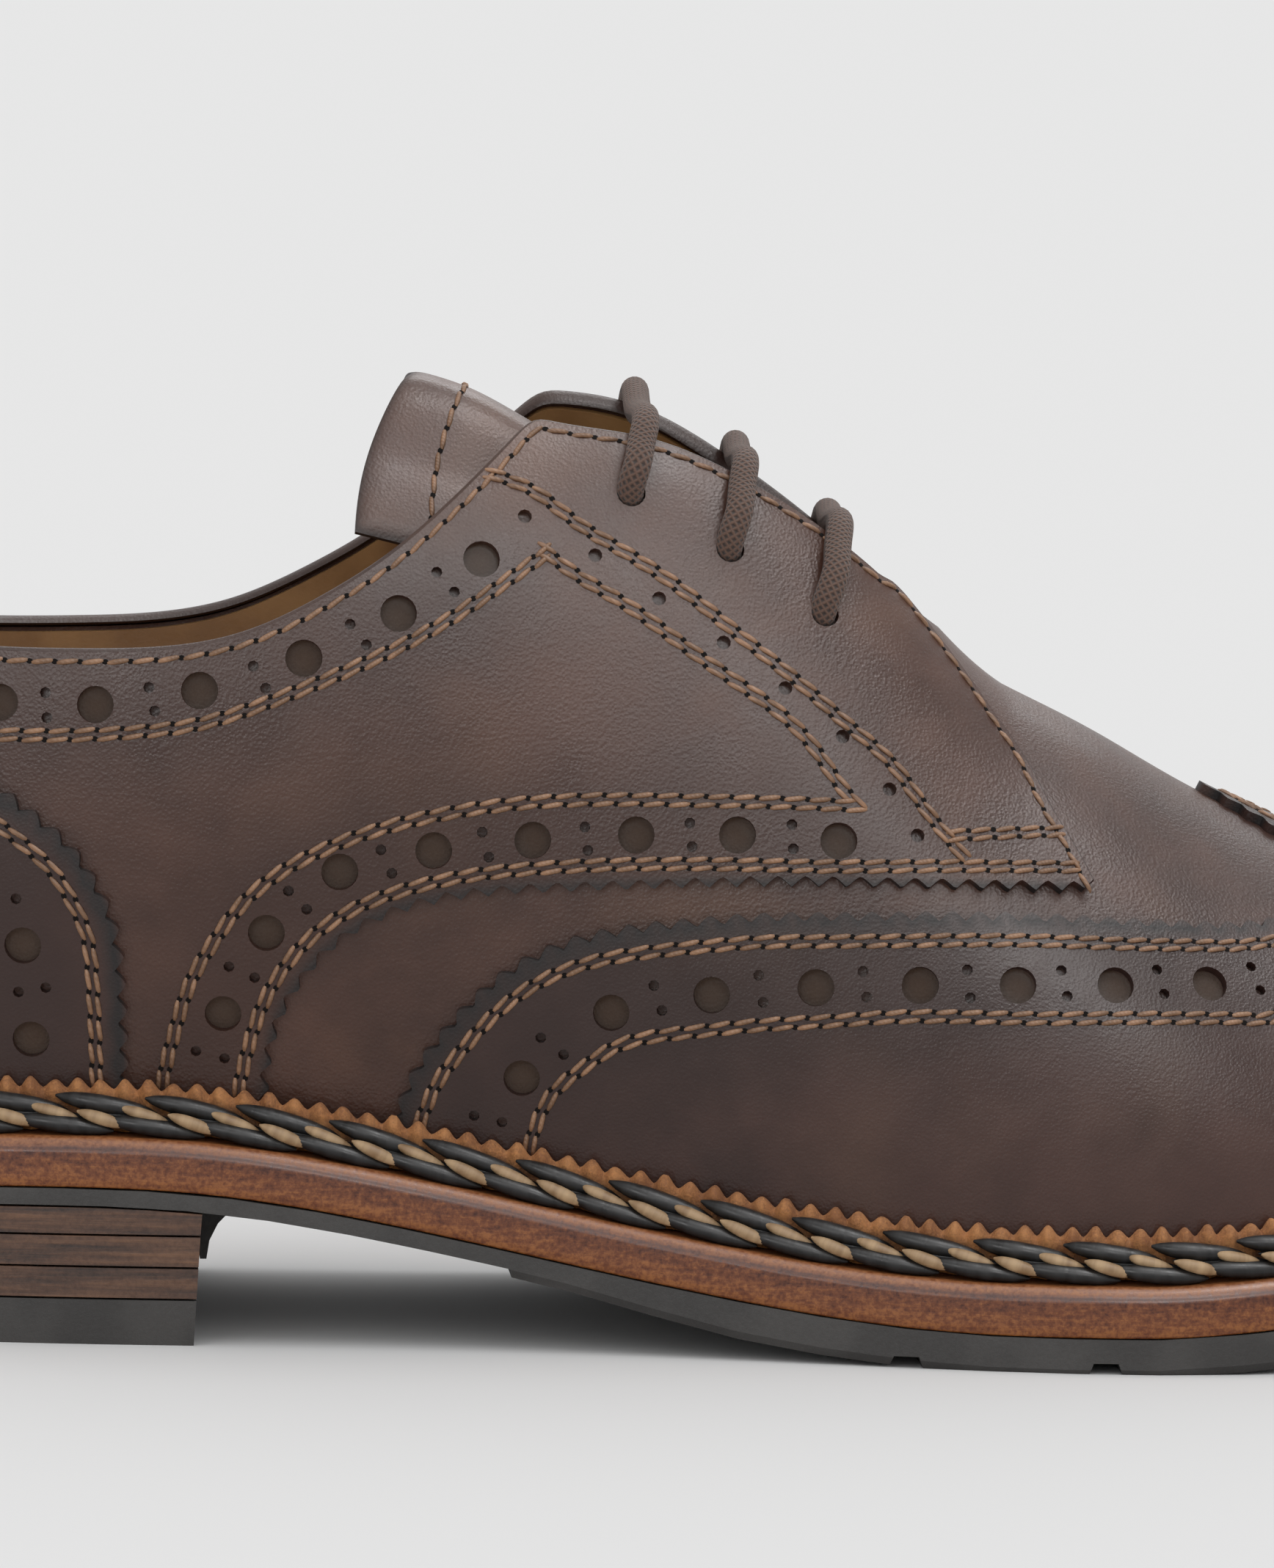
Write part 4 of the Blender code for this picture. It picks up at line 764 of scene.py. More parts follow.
def inside(points, loop):
    # even-odd count of the loop's crossings to the right of each point
    a, b = loop, np.roll(loop, -1, axis=0)
    y = points[:, 1:2]
    spans = (a[:, 1] > y) != (b[:, 1] > y)
    rise = np.where(b[:, 1] == a[:, 1], 1, b[:, 1] - a[:, 1])
    meets = (b[:, 0] - a[:, 0]) * (y - a[:, 1]) / rise + a[:, 0]
    return (spans & (points[:, :1] < meets)).sum(1) % 2 == 1


def nearest(points, targets):
    if len(targets) == 0:
        return np.full(len(points), 1e3)
    blocks = np.array_split(points, max(1, len(points) // 400))
    return np.concatenate([np.sqrt(((b[:, None] - targets[None]) ** 2).sum(-1).min(1)) for b in blocks])


def circleOn(centre, radius, count):
    # a true circle on the surface: its points are moves of the centre in the surface
    angle = np.linspace(0, 2 * np.pi, count, endpoint=False)
    ds, _ = axesAt(centre[None])
    first = unit(ds)[0]
    second = np.cross(form.normal(centre[None])[0], first)
    vectors = radius * (np.cos(angle)[:, None] * first + np.sin(angle)[:, None] * second)
    return moved(np.repeat(centre[None], count, 0), vectors)


holeNear = 6  # millimetres from a hole's middle that its rim never reaches


def onlyPanel(points, loops):
    # which points lie inside the outline and outside every hole
    kept = inside(points, loops[0])
    for loop in loops[1:]:
        close = np.abs(points - loop.mean(0)).max(1) < holeNear
        close[close] = inside(points[close], loop)
        kept &= ~close
    return kept


def fade(flat, targets, reach, power):
    # 1 at the targets, falling off past the reach in millimetres
    return np.exp(-((nearest(flat, targets) / reach) ** power))


# how cutPanel lays its points, and how far each mark spreads: reach in millimetres and steepness
panelCut = {
    "seamStep": 1.1 * mm, "seamSide": 0.62 * mm, "rimSide": 0.36 * mm, "rimRoom": 0.2, "seamRoom": 0.34,
    "gridRoom": 0.8, "groove": (0.22 * mm, 0.42), "round": (0.28 * mm, 0.2),
}
# the mark at the large holes paints shade on their bottoms
markReach = {"edge": (1.1, 4), "band": (8.5, 2), "hollow": (3.4, 4)}


def cutPanel(outline, holes, seams, outer, inner, spacing=1.7, **marked):
    # a panel between two heights: triangles between its outline, its punched holes and an even grid, each point
    # put on the form; the inner face sinks along the seams and at every rim
    loops = [chart(outline)] + [chart(circleOn(c, r, n)) for c, r, n in holes]
    rims = np.concatenate([chart(circleOn(c, r + panelCut["rimSide"], n)) for c, r, n in holes])
    middles = [even(seam, panelCut["seamStep"]) for seam in seams]
    seamPoints = chart(np.concatenate([
        row for line in middles
        for row in (line, shifted(line, panelCut["seamSide"]), shifted(line, -panelCut["seamSide"]))]))
    spans = (np.arange(a + spacing / 3, b, spacing) for a, b in zip(loops[0].min(0), loops[0].max(0)))
    gx, gy = np.meshgrid(*spans, indexing="ij")
    gx[:, 1::2] += spacing / 2
    grid = np.stack([gx.ravel(), gy.ravel()], -1)
    rim = np.concatenate(loops)
    kept = [rim]
    for points, room in ((rims, "rimRoom"), (seamPoints, "seamRoom"), (grid, "gridRoom")):
        points = points[onlyPanel(points, loops)]
        kept.append(points[nearest(points, np.concatenate(kept)) > panelCut[room]])
    rings, start = [], 0
    for loop in loops:
        i = start + np.arange(len(loop))
        rings.append(np.stack([i, np.roll(i, -1)], -1))
        start += len(loop)
    corners = [Vector(p) for p in np.concatenate(kept).tolist()]
    result = delaunay_2d_cdt(corners, np.concatenate(rings).tolist(), [], 0, 1e-4, False)
    flat, triangles = np.array([tuple(v) for v in result[0]]), np.array(result[2])
    triangles = triangles[onlyPanel(flat[triangles].mean(1), loops)]
    a, b, c = (flat[triangles[:, k]] for k in range(3))
    turn = (b[:, 0] - a[:, 0]) * (c[:, 1] - a[:, 1]) - (b[:, 1] - a[:, 1]) * (c[:, 0] - a[:, 0])
    triangles = np.where(turn[:, None] < 0, triangles, triangles[:, ::-1])
    used, triangles = np.unique(triangles, return_inverse=True)
    triangles, flat = triangles.reshape(-1, 3), flat[used]
    sw, count = flat / chartSize, len(flat)
    sunk = sum(deep * fade(flat, where, reach, 2) for where, (deep, reach) in (
        (chart(np.concatenate(middles)), panelCut["groove"]), (rim, panelCut["round"])))
    points = np.concatenate([form.place(sw, inner - sunk), form.place(sw, np.full(count, outer))])
    half = np.concatenate([triangles[:, [0, 1]], triangles[:, [1, 2]], triangles[:, [2, 0]]])
    code, back = half[:, 0] * count + half[:, 1], half[:, 1] * count + half[:, 0]
    bare = half[~np.isin(code, back)]
    for end in (0.0, 1.0):
        bare = bare[~(np.abs(sw[bare, 0] - end) < 1e-6).all(1)]
    walls = np.stack([bare[:, 1], bare[:, 0], bare[:, 0] + count, bare[:, 1] + count], -1)
    faces = [*triangles.tolist(), *(triangles[:, ::-1] + count).tolist(), *walls.tolist()]
    values = {key: fade(flat, chart(marked[key]), *reach) if key in marked else np.zeros(count)
              for key, reach in markReach.items()}
    return points, faces, {key: np.tile(value, 2) for key, value in values.items()}


def joined(parts):
    points, faces, values, start = [], [], {}, 0
    for p, f, a in parts:
        points.append(p)
        faces += [[i + start for i in face] for face in f]
        start += len(p)
        for key, value in a.items():
            values.setdefault(key, []).append(value)
    return np.concatenate(points), faces, {k: np.concatenate(v) for k, v in values.items()}


# stitches: a short twisted thread laid between two needle holes, many to a row
stitch = {"pitch": 3.45 * mm, "length": 3.3 * mm, "radius": 0.34 * mm, "tilt": math.radians(7),
          "sunk": 0.05 * mm, "needle": 0.43 * mm, "pitLift": 0.11 * mm}


def threadShape():
    # rings along one stitch: thin where it dives into the leather, full in its middle
    at = np.array([-0.5, -0.44, -0.2, 0.05, 0.28, 0.45, 0.5]) * stitch["length"]
    full = np.array([0.25, 0.7, 1.08, 1.06, 1.02, 0.7, 0.25]) * stitch["radius"]
    rise = np.array([-0.30, -0.02, 0.16, 0.20, 0.16, -0.02, -0.30]) * mm
    angle = np.linspace(0, 2 * np.pi, 6, endpoint=False)
    ring = np.stack([np.zeros(6), np.cos(angle), 0.85 * np.sin(angle)], -1)
    points = ring[None] * full[:, None, None] + np.stack([at, 0 * at, rise], -1)[:, None]
    faces = gridFaces(7, 6, aroundColumns=True).tolist()
    return points.reshape(-1, 3), faces + [list(range(5, -1, -1)), list(range(36, 42))]


def needleShape():
    # a shallow pit: a disc with its middle sunk; its near-black finish is painted shade inside the needle hole
    angle = np.linspace(0, 2 * np.pi, 8, endpoint=False)
    ring = np.stack([np.cos(angle) * 1.1, np.sin(angle) * 0.9, 0 * angle], -1) * stitch["needle"]
    points = np.concatenate([ring, [[0, 0, 0.02 * mm], [0, 0, -0.4 * mm]]])
    i = np.arange(8)
    j = (i + 1) % 8
    top = np.stack([i, j, np.full(8, 8)], -1).tolist()
    return points, top + np.stack([j, i, np.full(8, 9)], -1).tolist()


def framesAlong(places, outward):
    along = unit(np.gradient(places, axis=0))
    side = unit(np.cross(outward, along))
    return np.stack([along, side, unit(np.cross(along, side))], 1)


def scattered(shape, places, frames):
    # copies of a small shape: each place plus the shape's points along its own three axes
    template, faces = shape
    points = places[:, None] + np.einsum("vk,nkc->nvc", template, frames)
    count = len(template)
    lists = [[i + n * count for i in face] for n in range(len(places)) for face in faces]
    return points.reshape(-1, 3), lists, {}


def stitchRow(line, outward):
    # a row of stitches along evenly spaced points: tilted threads at the points, needle holes half-way between
    frames = framesAlong(line, outward)
    c, s = math.cos(stitch["tilt"]), math.sin(stitch["tilt"])
    ahead, aside = c * frames[:, 0] + s * frames[:, 1], c * frames[:, 1] - s * frames[:, 0]
    tilted = np.stack([ahead, aside, frames[:, 2]], 1)
    pits = line[1::2] + outward[1::2] * stitch["pitLift"]
    return scattered(threadShape(), line[::2], tilted[::2]), scattered(needleShape(), pits, frames[1::2])


def sewOn(rows, offset):
    made = []
    for row in rows:
        run = runOf(form.place(row, offset))
        t = np.linspace(0, run[-1], 2 * max(1, int(run[-1] / stitch["pitch"])) + 1)
        sw = np.stack([np.interp(t, run, row[:, k]) for k in (0, 1)], -1)
        made.append(stitchRow(form.place(sw, offset), form.normal(sw)))
    return made


def trimmed(row, start, end):
    # a row shortened by so many millimetres at its two ends
    run = runOf(form.place(row, lineLift)) / mm
    return row[(run >= start) & (run <= run[-1] - end)]


def parallel(line, *distances):
    return [shifted(line, d * mm) for d in distances]


# seams of the lateral side; the medial side mirrors them
edgeRows = [shifted(even(top, 1.5 * mm), d) for top, d in zip(facingTop, (-1.35 * mm, 1.35 * mm))]
edgeRows = [row[row[:, 0] > 0.004] for row in edgeRows]
quarterRows = (  # line, millimetres to its left, millimetres cut off at its two ends
    ("collarBand", 0, 0, 0), ("collarBand", -1.2, 0, 0.7), ("insetFront", 0, 0, 0),
    ("insetFront", -1.2, 1.0, 1.6), ("insetBottom", 0.8, 0.3, 0), ("insetBottom", -0.4, 1.6, 0),
    ("facingBand", 0, 0, 0), ("facingBand", -1.2, 0, 0), ("facingFoot", 0.6, 0, 0),
    ("facingFoot", -0.6, 0, 0), ("quarterBand", 0, 0, 0), ("quarterBand", -1.2, 0, 0))
quarterSeams = [trimmed(shifted(lines[name], aside * mm), *ends) for name, aside, *ends in quarterRows]
wingEdge = even(lines["wingEdge"], 1.0 * mm)


def beforeRidge(line):
    past = line[:, 1] >= 0.995
    return line[: past.argmax()] if past.any() else line


wingRows = [beforeRidge(row) for row in parallel(wingEdge, -2.0, -3.2)]
lower = beforeRidge(shifted(wingEdge, -13.0 * mm))
lower = lower[lower[:, 0] > lines["wingBand"][-1, 0] + 0.004]
wingLower = smoothLine(chart(np.concatenate([lines["wingBand"][::6], lower[::8]])), 0.8) / chartSize
wingRows += [wingLower, beforeRidge(shifted(wingLower, -1.2 * mm))]
counterRows = parallel(lines["counterEdge"], -2.5, -3.7)

holes = {name: cast(spots) for name, spots in punched.items()}
bandMiddle = beforeRidge(shifted(wingEdge, -8.6 * mm))
bandMiddle = bandMiddle[bandMiddle[:, 0] > holes["wingLarge"][-1, 0] + 0.002]
bandRun = runOf(form.place(bandMiddle, lineLift))
onward = {"first": 12.5 * mm, "rest": 6 * mm, "pitch": 13.3 * mm, "aside": 1.9}
ahead = np.arange(onward["first"], bandRun[-1] - onward["rest"], onward["pitch"])


def alongBand(line, at):
    return np.stack([np.interp(at, bandRun, line[:, k]) for k in (0, 1)], -1)


# the pattern carried on past the picture, to the cap's point
holes["wingLarge"] = np.concatenate([holes["wingLarge"], alongBand(bandMiddle, ahead)])
holes["wingSmall"] = np.concatenate([
    holes["wingSmall"], *(alongBand(line, ahead + onward["pitch"] / 2)
                          for line in parallel(bandMiddle, onward["aside"], -onward["aside"]))])
eyeletPlace = {
    "lateral": [(860, 672), (995, 748), (1124, 836)], "ahead": 0.008,
    "medial": np.array([(129.5, 12.7, 120.2), (143.7, 14.3, 112.4), (156.9, 16.1, 102.7)]) * mm,
}
farEyelets = cast(fromAbove(eyeletPlace["medial"] + last["shift"]), fromAbove, 0.0, (0.9, 1.9))
eyelets = [cast(eyeletPlace["lateral"]), farEyelets + [eyeletPlace["ahead"], 0]]


def onSide(sw, side):
    return other(sw) if side else sw


def holesOf(names, side=0):
    made = []
    for name in names:
        kind = "large" if name.endswith("Large") else "small" if name.endswith("Small") else "single"
        count = {"large": 20, "small": 8, "single": 10}[kind]
        made += [(onSide(c, side), holeSize[kind], count) for c in holes[name]]
    return made


def bandPoints(names, side):
    return onSide(np.concatenate([holes[name] for name in names]), side)


def footLine(start, end, w):
    count = max(2, int(abs(end - start) * chartSize[0] / 1.5))
    return np.stack([np.linspace(start, end, count + 1)[:-1], np.full(count, float(w))], -1)


def heelLine(w0, w1):
    count = max(2, int(abs(w1 - w0) * chartSize[1] / 1.4))
    return np.stack([np.zeros(count), np.linspace(w0, w1, count + 1)[:-1]], -1)


def panelPiece(name, finish, replaced, parts):
    points, faces, values = joined(parts)
    makePiece(name, points, faces, finish, finish + "_leather", (replaced,), values, weld=0.01 * mm)
    print(name, "cut")


quarterTeeth, quarterTips = gimped(lines["quarterEdge"][::-1], depth=1.5 * mm)
patterned = ["collarLarge", "collarSmall", "quarterLarge", "quarterSmall"]
parts = []
for side in (0, 1):
    top = even(facingTop[side], 1.1 * mm)
    outline = np.concatenate([
        heelLine(2 * side, top[0, 1]), top, onSide(quarterTeeth[1:], side),
        footLine(lines["quarterEdge"][0, 0], 0, 2 * side)])
    spots = holesOf([*patterned[:2], "facing", *patterned[2:]], side)
    spots += [(c, holeSize["eyelet"], 16) for c in eyelets[side]]
    seams = [onSide(row, side) for row in quarterSeams] + [edgeRows[side]]
    # the mark round the counter's and the wing's large holes paints shade where this panel shows through them
    parts.append(cutPanel(
        outline, spots, seams, layers["high"], layers["low"], edge=onSide(quarterTips, side),
        band=bandPoints(patterned, side), hollow=bandPoints(["counterLarge", "wingLarge"], side)))
panelPiece("quarterPanels", "upper", "quarters", parts)

wingTeeth, wingTips = gimped(wingEdge, depth=-1.5 * mm)
patterned = ["wingLarge", "wingSmall"]
toeLine = np.stack([np.ones(140), np.linspace(2, 0, 141)[:-1]], -1)
outline = np.concatenate([
    wingTeeth[:-1], other(wingTeeth)[::-1], footLine(wingEdge[0, 0], 1, 2)[1:], toeLine,
    footLine(1, wingEdge[0, 0], 0)[:-1]])
panelPiece("wingCap", "cap", "wing_cap", [cutPanel(
    outline, holesOf(patterned) + holesOf(patterned, 1), wingRows + [other(row) for row in wingRows],
    layers["high"], layers["low"], 1.9, edge=np.concatenate([wingTips, other(wingTips)]),
    band=np.concatenate([bandPoints(patterned, side) for side in (0, 1)]))])

counterTeeth, counterTips = gimped(lines["counterEdge"], depth=-1.5 * mm)
patterned = ["counterLarge", "counterSmall"]
parts = []
for side in (0, 1):
    teeth = onSide(counterTeeth, side)
    outline = np.concatenate([
        heelLine(2 * side, teeth[0, 1]), teeth, footLine(teeth[-1, 0], 0, 2 * side)[1:]])
    parts.append(cutPanel(
        outline, holesOf(patterned, side), [onSide(row, side) for row in counterRows], layers["counter"],
        layers["high"] + layers["low"], edge=onSide(counterTips, side), band=bandPoints(patterned, side)))
panelPiece("heelCounter", "cap", "heel_counter", parts)


def skin(name, low, high, finish, drop, replaced=()):
    # a closed wall between two offsets of the form, up to the collar's and the throat's edge
    s, share = form.s[::2], np.linspace(0, 1, 53)
    count, width, points, sws, faces = len(s), len(share), [], [], []
    tops = [np.where(edge[::2] >= 1, 1.0, edge[::2] - drop) for edge in edges]
    for side in (0, 1):
        w = tops[side][:, None] * share
        sw = np.stack(np.broadcast_arrays(s[:, None], 2 - w if side else w), -1)
        points += [form.place(sw, low).reshape(-1, 3), form.place(sw, high).reshape(-1, 3)]
        sws += [sw.reshape(-1, 2)] * 2
    size = count * width
    for side in (0, 1):
        for layer in (0, 1):
            grid = gridFaces(count, width) + (2 * side + layer) * size
            faces.append(grid if (side + layer) % 2 == 0 else grid[:, ::-1])
        shut = tops[side] >= 1
        for column, wall in ((0, np.ones(count - 1, bool)), (width - 1, ~(shut[:-1] & shut[1:]))):
            a = 2 * side * size + np.nonzero(wall)[0] * width + column
            faces.append(np.stack([a, a + size, a + size + width, a + width], -1))
    # painted shade on the skin at the bottoms of the large holes
    large = np.concatenate([bandPoints(["quarterLarge", "collarLarge", "wingLarge"], side) for side in (0, 1)])
    hollow = fade(chart(np.concatenate(sws)), chart(large), *markReach["hollow"])
    turnOut(makePiece(name, np.concatenate(points), np.concatenate(faces), finish, finish + "_leather",
                      replaced, {"hollow": hollow}, weld=0.01 * mm))


def turnOut(piece):
    work = bmesh.new()
    work.from_mesh(piece.data)
    bmesh.ops.recalc_face_normals(work, faces=work.faces)
    work.to_mesh(piece.data)
    work.free()


skin("vamp", -layers["wall"], 0.0, "upper", 0.006, ("upper",))
skin("lining", -layers["lining"], -layers["wall"] - 0.02 * mm, "lining", 0.010)


def tube(path, across, high, outward, sides):
    # an oval section carried along a path; its axes follow the surface under it
    frames = framesAlong(path, outward)
    angle = np.linspace(0, 2 * np.pi, sides, endpoint=False)
    across, high = (np.broadcast_to(np.asarray(v, float), (len(path),)) for v in (across, high))
    ring = (np.cos(angle)[None, :, None] * across[:, None, None] * frames[:, None, 1]
            + np.sin(angle)[None, :, None] * high[:, None, None] * frames[:, None, 2])
    points = (path[:, None] + ring).reshape(-1, 3)
    faces = gridFaces(len(path), sides, aroundColumns=True).tolist()
    faces += [list(range(sides - 1, -1, -1)), list(range(len(points) - sides, len(points)))]
    uv = np.stack(np.broadcast_arrays(runOf(path)[:, None], angle * float(np.mean(across))), -1)
    return points, faces, uv.reshape(-1, 2)


# the folded top edge of the collar and the facings: millimetres, thinner and lower by the facings' front
edging = {"half": 0.62, "high": (1.62, 1.0), "middle": (-0.25, 1.0), "dark": 0.45}
parts = []
for side in (0, 1):
    top = even(facingTop[side], 1.0 * mm)
    share = np.interp(top[:, 0], form.s, form.ridgeShare)
    thick, ended = 0.5 + 0.5 * smoothStep(0.60, 0.54, share), smoothStep(0.545, 0.585, share)
    path = form.place(top, (edging["middle"][0] + edging["middle"][1] * ended) * mm)
    high = (edging["high"][0] - edging["high"][1] * ended) * mm
    points, faces, _ = tube(path, edging["half"] * mm * thick, high, form.normal(top), 12)
    parts.append((points, faces, {"edge": np.full(len(points), edging["dark"])}))
points, faces, values = joined(parts)
makePiece("topEdging", points, faces, "upper", "upper_leather", (), values, sharp=60)
print("skin, lining and edging made")

# tongue: the sheet under the facings, its back edge cut in a soft curve
tongueSize = {
    "top": 0.332, "end": 0.617, "flank": 0.60, "droop": 0.016, "farDroop": -0.2, "crown": 0.15,
    "thick": 2.0 * mm, "tuck": 2.4 * mm, "sag": 1.9 * mm, "stitchAt": 0.085, "soft": 0.55 * mm, "dark": 0.8,
}


def tongueGrid(p, v):
    # p runs from its back edge (0) to under the vamp (1), v from its lateral edge (-1) to its medial (1)
    flank = tongueSize["flank"] + 0.14 * smoothStep(0.3, 1, p)
    w = 1 + v * (1 - flank)
    crown = tongueSize["crown"]
    away = (np.sqrt(v**2 + crown**2) - crown) / (np.sqrt(1 + crown**2) - crown)
    droop = tongueSize["droop"] * np.sin(np.pi / 2 * away) * np.where(v > 0, tongueSize["farDroop"], 1)
    ridge = tongueSize["top"] + (tongueSize["end"] - tongueSize["top"]) * p - droop * (1 - p) ** 2
    t = 1 - np.abs(1 - w)
    vamp = tongueSize["tuck"] * smoothStep(last["throatEnd"] - 0.045, last["throatEnd"] - 0.012, ridge)
    facing = (tongueSize["tuck"] + tongueSize["sag"]) * smoothStep(0.93, 0.72, t)
    sw = np.stack(np.broadcast_arrays(np.interp(ridge, form.ridgeShare, form.s), w), -1)
    return sw, np.maximum(vamp, facing)


def buildTongue():
    rows, columns = 81, 61
    p = (np.linspace(0, 1, rows) ** 1.3)[:, None]
    v = np.linspace(-1, 1, columns)[None]
    sw, drop = tongueGrid(p, v)
    border = np.minimum(1 - np.abs(v), p * 3.5)
    soften = tongueSize["soft"] * np.exp(-border / 0.03)
    top = innerForm.place(sw, -drop - soften)
    under = innerForm.place(sw, -drop - tongueSize["thick"] + soften)
    points = np.concatenate([top.reshape(-1, 3), under.reshape(-1, 3)])
    size = rows * columns
    i = np.concatenate([np.arange(columns), (np.arange(1, rows) * columns) + columns - 1,
                        size - 1 - np.arange(1, columns), (np.arange(rows - 2, 0, -1)) * columns])
    j = np.roll(i, -1)
    faces = np.concatenate([gridFaces(rows, columns)[:, ::-1], gridFaces(rows, columns) + size,
                            np.stack([i, j, j + size, i + size], -1)])
    rim = np.exp(-border / 0.02).ravel() * tongueSize["dark"]
    turnOut(makePiece("tonguePiece", points, faces, "upper", "upper_leather", ("tongue",),
                      {"edge": np.tile(rim, 2)}))
    sw, drop = tongueGrid(np.full(400, tongueSize["stitchAt"]), np.linspace(-0.93, 0.93, 400))
    line = innerForm.place(sw, -drop)
    run = runOf(line)
    t = np.linspace(0, run[-1], 2 * int(run[-1] / stitch["pitch"]) + 1)
    line = np.stack([np.interp(t, run, line[:, k]) for k in range(3)], -1)
    outward = np.stack([np.interp(t, run, innerForm.normal(sw)[:, k]) for k in range(3)], -1)
    return [stitchRow(line, unit(outward))]


sewn = buildTongue()
for seams, level in ((quarterSeams, "high"), (wingRows, "high"), (counterRows, "counter")):
    for side in (0, 1):
        sewn += sewOn([onSide(row, side) for row in seams], layers[level] - stitch["sunk"])
sewn += sewOn(edgeRows, layers["high"] - stitch["sunk"])
threads, pits = joined([row[0] for row in sewn]), joined([row[1] for row in sewn])
makePiece("stitching", *threads[:2], "thread", "upper_leather", sharp=80)
# the needle holes' near-black colour is painted shade
makePiece("needleHoleShade", *pits[:2], "needle", "upper_leather", sharp=80)
print("stitches sewn:", len(threads[0]) // 42)

# a closed loop round the foot of the upper, for the welt and its braid
loopS = np.linspace(0, 1, 1201)
soleSides = planSides(loopS)
soleEdge = np.concatenate([soleSides[0][0], soleSides[1][0][-2:0:-1]])
soleIn = np.concatenate([soleSides[0][1], soleSides[1][1][-2:0:-1]])
loopRun = runOf(np.concatenate([soleEdge, soleEdge[:1]]))
wallHeights = np.linspace(0, 9, 10) * mm


def wallLoops():
    # the upper's wall at each height over the midsole, with its outward direction
    t = np.linspace(0, 0.4, 60)
    loops = []
    for side in (0, 1):
        w = np.broadcast_to(2 - t if side else t, (len(loopS), len(t)))
        sw = np.stack(np.broadcast_arrays(loopS[:, None], w), -1)
        points, normals = form.place(sw), form.normal(sw)
        level = points[..., 2] - midsoleTop(points[..., 0] - last["shift"][0])
        rows = []
        for height in wallHeights:
            k = np.clip((level > height).argmax(1), 1, len(t) - 1)
            row = np.arange(len(loopS))
            part = (height - level[row, k - 1]) / (level[row, k] - level[row, k - 1])
            part = np.clip(part, 0, 1)[:, None]
            rows.append(np.concatenate([points[row, k - 1] * (1 - part) + points[row, k] * part,
                                        normals[row, k]], -1))
        loops.append(np.stack(rows))
    return np.concatenate([loops[0], loops[1][:, -2:0:-1]], axis=1)


walls = wallLoops()
backShare = np.clip((soleEdge[:, 0]) / last["length"], 0, 1)
cover = layers["high"] + 0.25 * mm + (layers["counter"] - layers["high"]) * smoothStep(0.24, 0.20, backShare)


def weltPlace(run, height, out, blend=0.0, inset=1.5 * mm):
    # a place by its run round the shoe, height over the midsole and distance off the covered wall;
    # blend leads it across to the sole's edge
    run = np.asarray(run) % loopRun[-1]
    i = np.interp(run, loopRun, np.arange(len(loopRun)))
    k = np.minimum(i.astype(int), len(soleEdge) - 1)
    f, n = (i - k)[..., None], (k + 1) % len(soleEdge)
    h = np.clip(np.asarray(height) / (1 * mm), 0, 8.999)
    a = h.astype(int)
    g = (h - a)[..., None]
    under, over = (walls[level, k] * (1 - f) + walls[level, n] * f for level in (a, a + 1))
    wall = under * (1 - g) + over * g
    outward = unit(wall[..., 3:] * [1, 1, 0])
    c = cover[k] * (1 - f[..., 0]) + cover[n] * f[..., 0]
    near = wall[..., :3] + outward * (c + out)[..., None]
    sole = soleEdge[k] * (1 - f) + soleEdge[n] * f + (soleIn[k] * (1 - f) + soleIn[n] * f) * inset
    flat = near[..., :2] * (1 - np.asarray(blend)[..., None])
    flat = flat + (sole + np.array(last["shift"][:2])) * np.asarray(blend)[..., None]
    z = midsoleTop(flat[..., 0] - last["shift"][0]) + height
    return np.concatenate([flat, z[..., None]], -1), outward


welt = {
    "toothPitch": 3.35 * mm, "thick": 2.0 * mm, "low": 5.9 * mm, "tooth": 1.45 * mm, "bulge": 1.15 * mm,
    # round its section: share of the thickness outward, share of the height
    "section": ((0, 0.02), (0, 0.5), (0, 0.93), (0.2, 1.0), (0.5, 1.0), (0.8, 0.95), (1.0, 0.86), (1.04, 0.76),
                (0.94, 0.66), (0.86, 0.5), (0.86, 0.02)),
}


def buildWelt():
    # an upright strip whose outer face and top are crimped into teeth: its height and its thickness
    # both follow a rounded saw along the run
    teeth = round(loopRun[-1] / welt["toothPitch"])
    count = teeth * 10
    run = np.arange(count) / count * loopRun[-1]
    phase = run / loopRun[-1] * teeth
    wobble = 0.16 * np.sin(phase * 2.399) + 0.12 * np.sin(phase * 5.13 + 1.0)
    saw = np.clip((0.5 - 0.5 * np.cos(2 * np.pi * phase)) ** 0.8 * (1 + wobble), 0, 1.1)
    top = welt["low"] + welt["tooth"] * saw
    out = welt["thick"] + welt["bulge"] * (saw - 0.5)
    rows = [weltPlace(run, np.maximum(top * h, 0.15 * mm), out * o)[0] for o, h in welt["section"]]
    points = np.stack(rows, 1)
    faces = gridFaces(count, len(rows), True, True)
    uv = np.stack(np.broadcast_arrays(run[:, None], np.arange(len(rows)) * mm), -1).reshape(-1, 2)
    turnOut(makePiece("stormWelt", points.reshape(-1, 3), faces, "welt", "welt_leather", ("storm_welt",),
                      None, uv, sharp=75))


buildWelt()

braid = {
    "period": 12.6 * mm, "rings": 13, "sides": 10, "off": 0.15 * mm,
    # millimetres: height, thickness, width, length, slope, dive; then blend to the sole's edge, and phase
    "Black": (((4.05, 1.32, 1.6, 14.2, -2.1, 1.0), 0.10, 0.0), ((1.45, 1.22, 1.6, 14.2, -1.6, 0.7), 0.60, 0.52),
              ((2.55, 0.95, 1.2, 14.2, -1.2, 0.2), 0.25, 0.25)),
    "Cream": (((3.00, 0.86, 1.30, 6.9, -1.9, 0.55), 0.46, 0.42),
              ((2.35, 0.90, 1.20, 6.9, -1.9, 0.75), 0.66, 0.95)),
}


